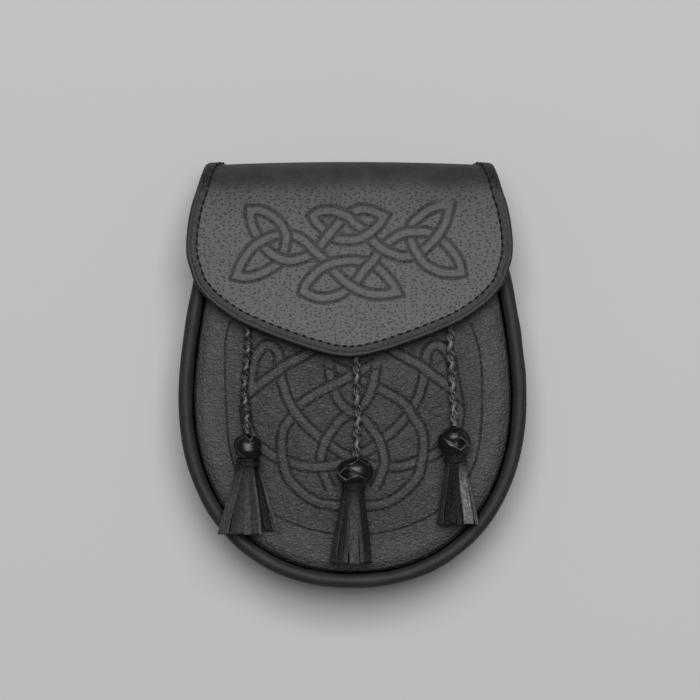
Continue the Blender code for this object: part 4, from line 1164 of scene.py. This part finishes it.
FLAP_LEATHER = 0.0025
FLAP_WIDTH = 0.163
FLAP_SHIFT = -0.0015
FLAP_FRONT_LENGTH = 0.09885
FLAP_CORNER_UP = 0.151
FLAP_TIP_LIFT = 0.0089
FLAP_EDGE_DROOP = 0.0012
FOLD_RADIUS = 0.020
FOLD_ARCH = 0.0022
FLAP_BACK_LENGTH = 0.034
FLOOR_GAP = 0.0003
FOLD_START_UP = BODY_LENGTH - FOLD_RADIUS - FLAP_LEATHER / 2
FOLD_CENTRE_Z = FLOOR_GAP + FLAP_LEATHER / 2 + FOLD_RADIUS
FOLD_LENGTH = math.pi * FOLD_RADIUS
FLAP_TIP_UP = BODY_LENGTH - FLAP_FRONT_LENGTH
FLAP_INSET = 0.0013
TAIL_SEAM_IN = 0.0032
TAIL_STITCH_PITCH = 0.0042
TAIL_SIDE_STITCHES = 6
FLAP_COLUMNS = 300
FLAP_FRONT_ROWS = 150
FLAP_FOLD_ROWS = 56
FLAP_BACK_ROWS = 16
FLAP_COLOUR = (0.0715, 0.0715, 0.0773)
# Painted shade over the fold, where the flap turns away from the light: its colour, and the millimetres down from the
# fold's start over which it fades out.
FOLD_SHADE_COLOUR = (0.014, 0.014, 0.015)
FOLD_SHADE_FROM = -20.0
FOLD_SHADE_TO = 17.0
FLAP_LIFT = (
    # (share of the front's length from the fold, share of FLAP_TIP_LIFT)
    (0.00, 0.00),
    (0.12, 0.15),
    (0.30, 0.40),
    (0.55, 0.66),
    (0.80, 0.89),
    (1.00, 1.00),
)
FLAP_SIDE = (
    # (share of the way from corner to back end, share of half FLAP_WIDTH)
    (0.000, 0.933),
    (0.030, 0.957),
    (0.061, 0.973),
    (0.095, 0.991),
    (0.150, 1.000),
    (0.204, 0.994),
    (0.275, 0.975),
    (0.314, 0.958),
    (0.347, 0.940),
    (0.387, 0.923),
    (0.436, 0.905),
    (0.475, 0.893),
    (0.560, 0.845),
    (0.740, 0.765),
    (0.900, 0.745),
    (0.960, 0.725),
    (0.985, 0.690),
    (1.000, 0.620),
)
FLAP_EDGE = (
    # (share of half FLAP_WIDTH, share of the height from point to corner)
    (-0.080, 0.016),
    (0.000, 0.000),
    (0.080, 0.016),
    (0.216, 0.092),
    (0.365, 0.206),
    (0.539, 0.359),
    (0.699, 0.532),
    (0.791, 0.674),
    (0.871, 0.830),
    (0.933, 1.000),
)
# The middle line of the band, in millimetres from the middle of the pouch. A new row starts at a sharp corner.
FLAP_BAND = (
    ((-57.8, 48.9), (-56.0, 53.9), (-53.2, 58.7), (-49.4, 63.4), (-44.6, 66.6), (-38.2, 69.2),
     (-33.8, 69.7), (-29.8, 69.2), (-23.9, 66.2), (-18.8, 61.0), (-14.2, 56.8), (-11.8, 53.7),
     (-8.9, 51.0), (-6.2, 48.2), (-3.8, 46.0), (-0.8, 43.8), (3.8, 41.5), (9.8, 39.7), (14.8, 39.5),
     (22.1, 40.7)),
    ((22.1, 40.7), (20.1, 44.5), (17.2, 48.2), (14.2, 51.4), (12.2, 53.2), (8.8, 55.0), (4.6, 55.9),
     (-0.4, 56.5), (-5.2, 56.0), (-9.8, 55.2), (-14.5, 53.1), (-17.9, 50.7), (-20.9, 47.5), (-23.5, 43.9),
     (-24.4, 41.0)),
    ((-24.4, 41.0), (-18.9, 38.5), (-14.9, 37.8), (-10.6, 38.3), (-5.6, 40.0), (-1.2, 43.7), (2.1, 46.6),
     (6.0, 52.0), (9.9, 56.1), (12.8, 60.2), (15.2, 63.0), (17.2, 64.9), (19.7, 67.1), (22.8, 69.0),
     (26.1, 70.4), (30.1, 70.9), (33.6, 71.0), (37.2, 70.7), (40.8, 69.0), (44.8, 66.3), (48.5, 62.7),
     (51.4, 58.8), (53.4, 54.9), (54.2, 50.7)),
    ((54.2, 50.7), (51.2, 50.2), (48.1, 50.3), (44.9, 50.5), (40.8, 52.0), (36.7, 54.2), (32.8, 59.0),
     (30.2, 63.7), (29.2, 66.9), (28.8, 71.2), (30.1, 75.4), (33.2, 78.2), (36.4, 80.8), (40.2, 82.9),
     (43.9, 83.9), (48.5, 83.9)),
    ((48.5, 83.9), (47.8, 80.2), (46.4, 75.7), (44.2, 71.5), (41.8, 68.2), (38.9, 64.9), (36.1, 62.4),
     (32.8, 59.7), (29.0, 58.7), (24.4, 58.5), (20.2, 59.7), (16.2, 61.5), (12.8, 63.8), (9.1, 67.5),
     (4.6, 72.5), (0.8, 75.2), (-1.9, 78.2), (-4.9, 79.7), (-8.9, 81.2), (-13.2, 81.4), (-17.1, 80.7),
     (-19.8, 78.7)),
    ((-19.8, 78.7), (-18.2, 75.7), (-15.8, 73.5), (-13.2, 71.2), (-10.8, 69.0), (-7.2, 67.2),
     (-3.8, 66.9), (-0.8, 66.8), (3.8, 67.7), (7.4, 69.6), (10.8, 72.2), (13.7, 75.2), (15.8, 78.7)),
    ((15.8, 78.7), (10.2, 81.2), (5.2, 82.3), (1.0, 81.2), (-3.2, 78.7), (-5.8, 76.5), (-10.2, 71.4),
     (-15.8, 64.4), (-19.0, 61.0), (-21.2, 59.4), (-25.9, 57.5), (-31.1, 56.4), (-35.8, 57.4),
     (-40.2, 59.8), (-43.8, 63.0), (-47.2, 68.5), (-49.8, 73.4), (-51.0, 79.0), (-51.1, 81.7)),
    ((-51.1, 81.7), (-46.2, 81.7), (-41.2, 79.5), (-37.2, 76.5), (-34.4, 72.5), (-33.1, 69.4), (-33.2, 66.2),
     (-34.1, 61.8), (-35.8, 57.7), (-38.2, 54.2), (-41.8, 51.9), (-45.8, 49.9), (-50.6, 48.5), (-54.2, 48.2),
     (-57.8, 48.9)),
)


def flap_middle(x, strip_up):
    """Points of the flap's middle layer, x from its own middle, with the fold and the back counted as height."""
    share = (FOLD_START_UP - strip_up) / (FOLD_START_UP - FLAP_TIP_UP)
    lift = FLAP_TIP_LIFT * read_table(FLAP_LIFT, share)
    droop = FLAP_EDGE_DROOP * (np.abs(x) / (FLAP_WIDTH / 2)) ** 4 * np.clip(4 * share, 0, 1)
    past = strip_up - FOLD_START_UP
    angle = np.clip(past / FOLD_RADIUS, 0, math.pi)
    reach = FOLD_RADIUS - FOLD_ARCH * (x / (FLAP_WIDTH / 2)) ** 2
    back = past > FOLD_LENGTH
    up = np.where(past <= 0, strip_up, FOLD_START_UP + reach * np.sin(angle))
    up = np.where(back, FOLD_START_UP - (past - FOLD_LENGTH), up)
    z = np.where(past <= 0, FOLD_CENTRE_Z + FOLD_RADIUS + lift - droop, FOLD_CENTRE_Z + FOLD_RADIUS * np.cos(angle))
    return np.stack([x + FLAP_SHIFT, up - BODY_LENGTH / 2, z], axis=-1)


def flap_outward(x, strip_up):
    """The directions in which the flap's outer face looks."""
    step = 2e-4
    across = flap_middle(x + step, strip_up) - flap_middle(x - step, strip_up)
    climb = flap_middle(x, strip_up + step) - flap_middle(x, strip_up - step)
    face = np.cross(across, climb)
    return face / np.linalg.norm(face, axis=-1)[..., None]


def flap_half(strip_up):
    """Half the flap's width above its corner, out to the binding's edge."""
    strip = FOLD_START_UP + FOLD_LENGTH + FLAP_BACK_LENGTH - FLAP_CORNER_UP
    return FLAP_WIDTH / 2 * read_table(FLAP_SIDE, (strip_up - FLAP_CORNER_UP) / strip)


def flap_edge_up(x):
    """The height of the flap's lower edge."""
    return FLAP_TIP_UP + (FLAP_CORNER_UP - FLAP_TIP_UP) * read_table(FLAP_EDGE, np.abs(x) / (FLAP_WIDTH / 2))


def choose_flap(crossings):
    """The flap's band goes over and under by turns, first over."""
    passes = sorted([(first[1], number, True) for number, (place, first, second) in enumerate(crossings)]
                    + [(second[1], number, False) for number, (place, first, second) in enumerate(crossings)])
    chosen = [True] * len(crossings)
    for turn, (at, number, is_first) in enumerate(passes):
        if is_first:
            chosen[number] = turn % 2 == 0
    return chosen


def add_flap():
    """The flap with its pressed band."""
    bands = {"endless": band(FLAP_BAND)}
    edges = pressed_lines(bands, choose_flap)
    corner = float(flap_half(np.array(FLAP_CORNER_UP))) - FLAP_INSET
    back_end = FOLD_START_UP + FOLD_LENGTH + FLAP_BACK_LENGTH - FLAP_INSET
    front = np.linspace(FLAP_CORNER_UP, FOLD_START_UP, FLAP_FRONT_ROWS)
    fold = np.linspace(FOLD_START_UP, FOLD_START_UP + FOLD_LENGTH, FLAP_FOLD_ROWS)[1:]
    behind = FOLD_START_UP + FOLD_LENGTH + (back_end - FOLD_START_UP - FOLD_LENGTH) * np.linspace(0, 1, FLAP_BACK_ROWS)[1:] ** 0.7
    side_up = np.concatenate([front, fold, behind])[:, None]
    across = np.linspace(-1, 1, FLAP_COLUMNS)[None, :]
    x = across * (flap_half(side_up) - FLAP_INSET)
    fade = np.clip((FOLD_START_UP - side_up) / (FOLD_START_UP - FLAP_CORNER_UP), 0, 1)
    strip_up = side_up + (flap_edge_up(across * corner) + 1.25 * FLAP_INSET - FLAP_CORNER_UP) * fade
    outward = flap_outward(x, strip_up)
    middle = flap_middle(x, strip_up)
    places = middle[..., :2].reshape(-1, 2) * 1000
    line, inside = tooling(places, edges, bands["endless"]["points"])
    on_front = (strip_up < FOLD_START_UP).ravel()
    line, inside = np.where(on_front, line, 9.0), np.where(on_front, inside, 0.0)
    pressed = np.exp(-((line / PRESSED_WIDTH) ** 2))
    crown = 1 - (1 - inside) ** 2
    stand = (FLAP_LEATHER / 2 + (0.14 * crown - 0.55 * pressed) / 1000).reshape(x.shape)
    outer = middle + outward * stand[..., None]
    lining = middle - outward * FLAP_LEATHER / 2 - outer
    made, source = add_sheet("flap_sheet", outer, lining, flap_finish)
    paint(made, "line", on_face(line, source, 9.0))
    paint(made, "band", on_face(np.minimum(3 * inside, 1), source, 0.0))
    paint(made, "across", x.ravel()[source] * 1000)
    paint(made, "down", (FOLD_START_UP - strip_up).ravel()[source] * 1000)
    return made


def dimpled_leather(name, colour, roughness, line_depth):
    """Firm leather with rows of small dark dimples, few on the pressed band, with painted shade where it turns over the
    fold and a painted highlight that grows towards its point.
    """
    made, shader, add, links, place = leather(name, colour, roughness, 0.35)
    line = painted(add, "line")
    inside = painted(add, "band")
    across = painted(add, "across")
    down = painted(add, "down")
    flat = add("ShaderNodeCombineXYZ", {"X": across, "Y": down}).outputs[0]
    cloud = noise(add, place, 0.05, 5.0, 0.6)
    fine = noise(add, place, 0.9, 4.0, 0.6)
    bent = add("ShaderNodeTexNoise", {"Vector": flat, "Scale": 0.9, "Detail": 2.0}).outputs["Color"]
    moved = add("ShaderNodeVectorMath", {0: bent, 1: (0.8, 0.8, 0.0), 2: flat}, operation="MULTIPLY_ADD").outputs[0]
    long = add("ShaderNodeVectorMath", {0: moved, 1: (0.80, 1.25, 0.0)}, operation="MULTIPLY").outputs[0]
    cell = add(
        "ShaderNodeTexVoronoi", {"Vector": long, "Scale": 0.50, "Randomness": 0.8}, voronoi_dimensions="2D", feature="F1"
    ).outputs["Distance"]
    dimple = ramp(add, cell, 0.04, 0.29, 1.0, 0.0)
    plain = reckon(add, "MULTIPLY_ADD", inside, -0.5, 1.0)
    uneven = noise(add, flat, 0.35, 1.0)
    some = add("ShaderNodeMath", {0: plain, 1: ramp(add, uneven, 0.35, 0.60, 0.3, 1.0)}, operation="MULTIPLY").outputs[0]
    shown = reckon(add, "MULTIPLY", dimple, some)
    # Painted shade where the flap turns over the fold.
    folded = blend(add, ramp(add, down, FOLD_SHADE_FROM, FOLD_SHADE_TO, 1.0, 0.0), colour, FOLD_SHADE_COLOUR)
    # Painted highlight: lighter towards the flap's point, where it tilts towards the light.
    tip_painted_light = blend(add, ramp(add, down, 15.0, 85.0, 0.0, 0.8), folded, tone(colour, 1.4))
    patchy = blend(add, ramp(add, cloud, 0.35, 0.70, 0.0, 0.3), tip_painted_light, tone(colour, 1.2))
    speckled = blend(add, ramp(add, fine, 0.45, 0.65, 0.0, 0.45), patchy, tone(colour, 0.5))
    holed = blend(add, ramp(add, shown, 0.0, 1.0, 0.0, 0.62), speckled, tone(colour, 0.25))
    tooled = blend(add, ramp(add, line, 0.25, 1.05, line_depth, 0.0), holed, tone(colour, 0.18))
    links.new(tooled, shader.inputs["Base Color"])
    first = add("ShaderNodeBump", {"Height": shown, "Strength": 0.7, "Distance": 0.0004}, invert=True).outputs["Normal"]
    second = add("ShaderNodeBump", {"Height": fine, "Strength": 0.5, "Distance": 0.0002, "Normal": first})
    links.new(second.outputs["Normal"], shader.inputs["Normal"])
    return made


def back_seam():
    """The places of the stitches that hold the flap's tail on the back, with their directions."""
    row_up = FOLD_START_UP + FOLD_LENGTH + FLAP_BACK_LENGTH - TAIL_SEAM_IN
    reach = float(flap_half(np.array(row_up))) - TAIL_SEAM_IN
    x = np.arange(-reach, reach, TAIL_STITCH_PITCH)
    side_up = row_up - np.arange(1, TAIL_SIDE_STITCHES) * TAIL_STITCH_PITCH
    side_x = flap_half(side_up) - TAIL_SEAM_IN
    all_x = np.concatenate([x, side_x, -side_x])
    all_up = np.concatenate([np.full(len(x), row_up), side_up, side_up])
    way = np.concatenate([np.tile((1.0, 0, 0), (len(x), 1)), np.tile((0, 1.0, 0), (2 * len(side_up), 1))])
    outward = flap_outward(all_x, all_up)
    return flap_middle(all_x, all_up) + outward * (FLAP_LEATHER / 2 - STITCH_WIDTH * 0.3), way, outward


flap_finish = dimpled_leather("flap_leather_dimpled", FLAP_COLOUR, 0.55, 0.8)
flap = add_flap()
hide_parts("flap")
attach(flap, "root")
tail_stitches = add_stitches("tail_stitches", *back_seam())


# The binding and its stitches.
# A strip of soft leather is folded round the flap's edge and sewn through with black waxed thread.

BINDING_WIDTH = 0.0057
BINDING_LEATHER = 0.001
BINDING_FOLD_SHARE = 0.8
BINDING_STEP = 0.0007
STITCH_PITCH = 0.0044
STITCH_DEPTH_IN = 0.0054
BINDING_PROFILE = (
    # (share of the binding's width inwards from its edge, share of its height above the flap's middle layer)
    (1.00, 0.52),
    (0.99, 0.84),
    (0.95, 0.92),
    (0.88, 0.90),
    (0.74, 0.98),
    (0.55, 1.00),
    (0.40, 0.98),
    (0.33, 0.93),
    (0.27, 0.98),
    (0.19, 1.00),
    (0.10, 0.92),
    (0.03, 0.66),
    (0.00, 0.30),
    (0.00, 0.00),
)


def flap_outline():
    """The flap's outline, evenly spaced, as (x, strip height), with its inward directions on the unrolled flap."""
    ups = np.linspace(FOLD_START_UP + BINDING_FOLD_SHARE * FOLD_LENGTH, FLAP_CORNER_UP, 200)
    side = np.stack([flap_half(ups), ups], axis=1)
    x = np.linspace(side[-1, 0], 0, 200)[1:]
    edge = np.stack([x, flap_edge_up(x)], axis=1)
    right = np.concatenate([side, edge])
    whole = np.concatenate([right, right[-2::-1] * (-1, 1)])
    reach = np.concatenate([[0], np.cumsum(np.linalg.norm(np.diff(whole, axis=0), axis=1))])
    at = np.linspace(0, reach[-1], int(reach[-1] / BINDING_STEP))
    path = np.stack([np.interp(at, reach, whole[:, 0]), np.interp(at, reach, whole[:, 1])], axis=1)
    along = np.gradient(path, axis=0)
    along /= np.linalg.norm(along, axis=1)[:, None]
    return path, np.stack([along[:, 1], -along[:, 0]], axis=1), at


def add_binding():
    """The binding, a deep rounded C in section, with the faint lines of the roller that pressed it."""
    path, inwards, at = flap_outline()
    top = [(BINDING_WIDTH * wide, height) for wide, height in BINDING_PROFILE]
    profile = top + [(depth, -height) for depth, height in top[-2::-1]]
    skin = FLAP_LEATHER / 2 + FLOOR_GAP + BINDING_LEATHER
    middle = flap_middle(path[:, 0], path[:, 1])
    step = 1e-4
    inner = flap_middle(path[:, 0] + step * inwards[:, 0], path[:, 1] + step * inwards[:, 1]) - middle
    inner /= np.linalg.norm(inner, axis=1)[:, None]
    outward = flap_outward(path[:, 0], path[:, 1])
    grid = np.stack([middle + inner * depth + outward * height * skin for depth, height in profile], axis=1)
    made = add_surface("binding_strip", grid.reshape(-1, 3), grid_quads(len(path), len(profile), closed=True), binding_finish)
    shape = bmesh.new()
    shape.from_mesh(made.data)
    bmesh.ops.contextual_create(shape, geom=[edge for edge in shape.edges if edge.is_boundary and edge.verts[0].index < len(profile)])
    bmesh.ops.contextual_create(shape, geom=[edge for edge in shape.edges if edge.is_boundary])
    bmesh.ops.recalc_face_normals(shape, faces=shape.faces)
    shape.to_mesh(made.data)
    shape.free()
    paint(made, "along", np.repeat(at * 1000, len(profile)))
    paint(made, "inwards", np.tile([depth * 1000 for depth, height in profile], len(path)))
    return made


def rolled_leather(name, colour, roughness):
    """Soft binding leather with faint slanting strokes, rubbed lighter on its ridge."""
    made, shader, add, links, place = leather(name, colour, roughness, 0.22)
    along = painted(add, "along")
    inwards = painted(add, "inwards")
    speck = noise(add, place, 0.9, 4.0)
    slant = reckon(add, "MULTIPLY_ADD", inwards, 1.1, along)
    bent = reckon(add, "MULTIPLY_ADD", speck, 1.6, slant)
    wave = reckon(add, "MULTIPLY", bent, 3.0)
    stroke = add("ShaderNodeMath", {0: wave}, operation="SINE").outputs[0]
    ridge = ramp(add, inwards, 0.4, 1.1, 0.0, 1.0)
    ridge_end = ramp(add, inwards, 1.3, 2.0, 1.0, 0.0)
    worn = reckon(add, "MULTIPLY", ridge, ridge_end)
    patchy = blend(add, ramp(add, speck, 0.48, 0.62, 0.0, 0.9), colour, tone(colour, 3.4))
    rubbed = blend(add, ramp(add, worn, 0.0, 1.0, 0.0, 0.6), patchy, tone(colour, 3.5))
    struck = blend(add, ramp(add, stroke, 0.1, 1.0, 0.0, 0.45), rubbed, tone(colour, 0.4))
    links.new(struck, shader.inputs["Base Color"])
    first = add("ShaderNodeBump", {"Height": stroke, "Strength": 0.15, "Distance": 0.0001}, invert=True).outputs["Normal"]
    second = add("ShaderNodeBump", {"Height": speck, "Strength": 0.4, "Distance": 0.0002, "Normal": first})
    links.new(second.outputs["Normal"], shader.inputs["Normal"])
    return made


def binding_seam():
    """The places of the stitches along the binding's inner edge, with their directions."""
    path, inwards, at = flap_outline()
    skin = FLAP_LEATHER / 2 + FLOOR_GAP + BINDING_LEATHER * 0.65
    seam = path + STITCH_DEPTH_IN * inwards
    middle_at = np.arange(0.004, at[-1] - 0.004, STITCH_PITCH)

    def on_seam(reach):
        return np.interp(reach, at, seam[:, 0]), np.interp(reach, at, seam[:, 1])

    outward = flap_outward(*on_seam(middle_at))
    way = flap_middle(*on_seam(middle_at + 0.0005)) - flap_middle(*on_seam(middle_at - 0.0005))
    way /= np.linalg.norm(way, axis=1)[:, None]
    return flap_middle(*on_seam(middle_at)) + skin * outward, way, outward


binding_finish = rolled_leather("binding_leather_rolled", (0.0108, 0.0108, 0.0119), 0.5)
binding = add_binding()
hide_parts("flap_binding")
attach(binding, "root")
stitches = add_stitches("binding_stitches", *binding_seam())


# The press stud.
# A brushed steel snap under the flap's point: its socket is riveted to the flap and its post to the front.

stud_metal = bpy.data.materials.new("stud_steel_brushed")
stud_metal.use_nodes = True
stud_nodes, stud_links = stud_metal.node_tree.nodes, stud_metal.node_tree.links
stud_shader = stud_nodes["Principled BSDF"]
stud_shader.inputs["Metallic"].default_value = 1.0
stud_shader.inputs["Roughness"].default_value = 0.32
stud_place = stud_nodes.new("ShaderNodeTexCoord")
stud_scratch = stud_nodes.new("ShaderNodeTexNoise")
stud_scratch.inputs["Scale"].default_value = 900
stud_scratch.inputs["Detail"].default_value = 5
stud_tone = stud_nodes.new("ShaderNodeValToRGB")
stud_tone.color_ramp.elements[0].color = (0.32, 0.32, 0.33, 1)
stud_tone.color_ramp.elements[1].color = (0.62, 0.62, 0.63, 1)
stud_links.new(stud_place.outputs["Object"], stud_scratch.inputs["Vector"])
stud_links.new(stud_scratch.outputs["Fac"], stud_tone.inputs["Fac"])
stud_links.new(stud_tone.outputs["Color"], stud_shader.inputs["Base Color"])
stud = bpy.data.objects["press_stud"]
for material_slot in stud.material_slots:
    material_slot.link = "OBJECT"
    material_slot.material = stud_metal


# The floor and the light.
# A pale plain sheet of paper lies under the pouch. One broad soft light hangs high beyond its top edge,
# and a white tent all round sends a little of it back.

FLOOR_REACH = 14.0
FLOOR_CORNERS = ((-1, -1), (1, -1), (1, 1), (-1, 1))

paper = bpy.data.materials.new("paper")
paper.use_nodes = True
paper_nodes, paper_links = paper.node_tree.nodes, paper.node_tree.links
paper_shader = paper_nodes["Principled BSDF"]
paper_shader.inputs["Roughness"].default_value = 0.9
paper_shader.inputs["Specular IOR Level"].default_value = 0.1
paper_grain = paper_nodes.new("ShaderNodeTexNoise")
paper_grain.inputs["Scale"].default_value = 6
paper_tone = paper_nodes.new("ShaderNodeValToRGB")
paper_tone.color_ramp.elements[0].color = (0.53, 0.53, 0.53, 1)
paper_tone.color_ramp.elements[1].color = (0.55, 0.55, 0.55, 1)
paper_links.new(paper_grain.outputs["Fac"], paper_tone.inputs["Fac"])
paper_links.new(paper_tone.outputs["Color"], paper_shader.inputs["Base Color"])
floor_mesh = bpy.data.meshes.new("floor")
floor_mesh.from_pydata([(x * FLOOR_REACH, y * FLOOR_REACH, 0) for x, y in FLOOR_CORNERS], [], [(0, 1, 2, 3)])
floor_mesh.materials.append(paper)
floor = bpy.data.objects.new("floor", floor_mesh)
bpy.context.scene.collection.objects.link(floor)


def add_light(name, place, target, size, power):
    """A soft square light at a place, turned to a target."""
    lamp = bpy.data.lights.new(name, "AREA")
    lamp.size = size
    lamp.energy = power
    made = bpy.data.objects.new(name, lamp)
    made.location = place
    way = np.array(target) - np.array(place)
    made.rotation_euler = (math.atan2(math.hypot(way[0], way[1]), -way[2]), 0, math.atan2(way[1], way[0]) - math.pi / 2)
    bpy.context.scene.collection.objects.link(made)


add_light("key_light", (0.10, 1.25, 3.6), (0, 0, 0), 2.5, 144)
world = bpy.data.worlds.new("tent")
world.use_nodes = True
world.node_tree.nodes["Background"].inputs["Color"].default_value = (1, 1, 1, 1)
world.node_tree.nodes["Background"].inputs["Strength"].default_value = 0.13
bpy.context.scene.world = world
bpy.context.scene.view_settings.view_transform = "Standard"
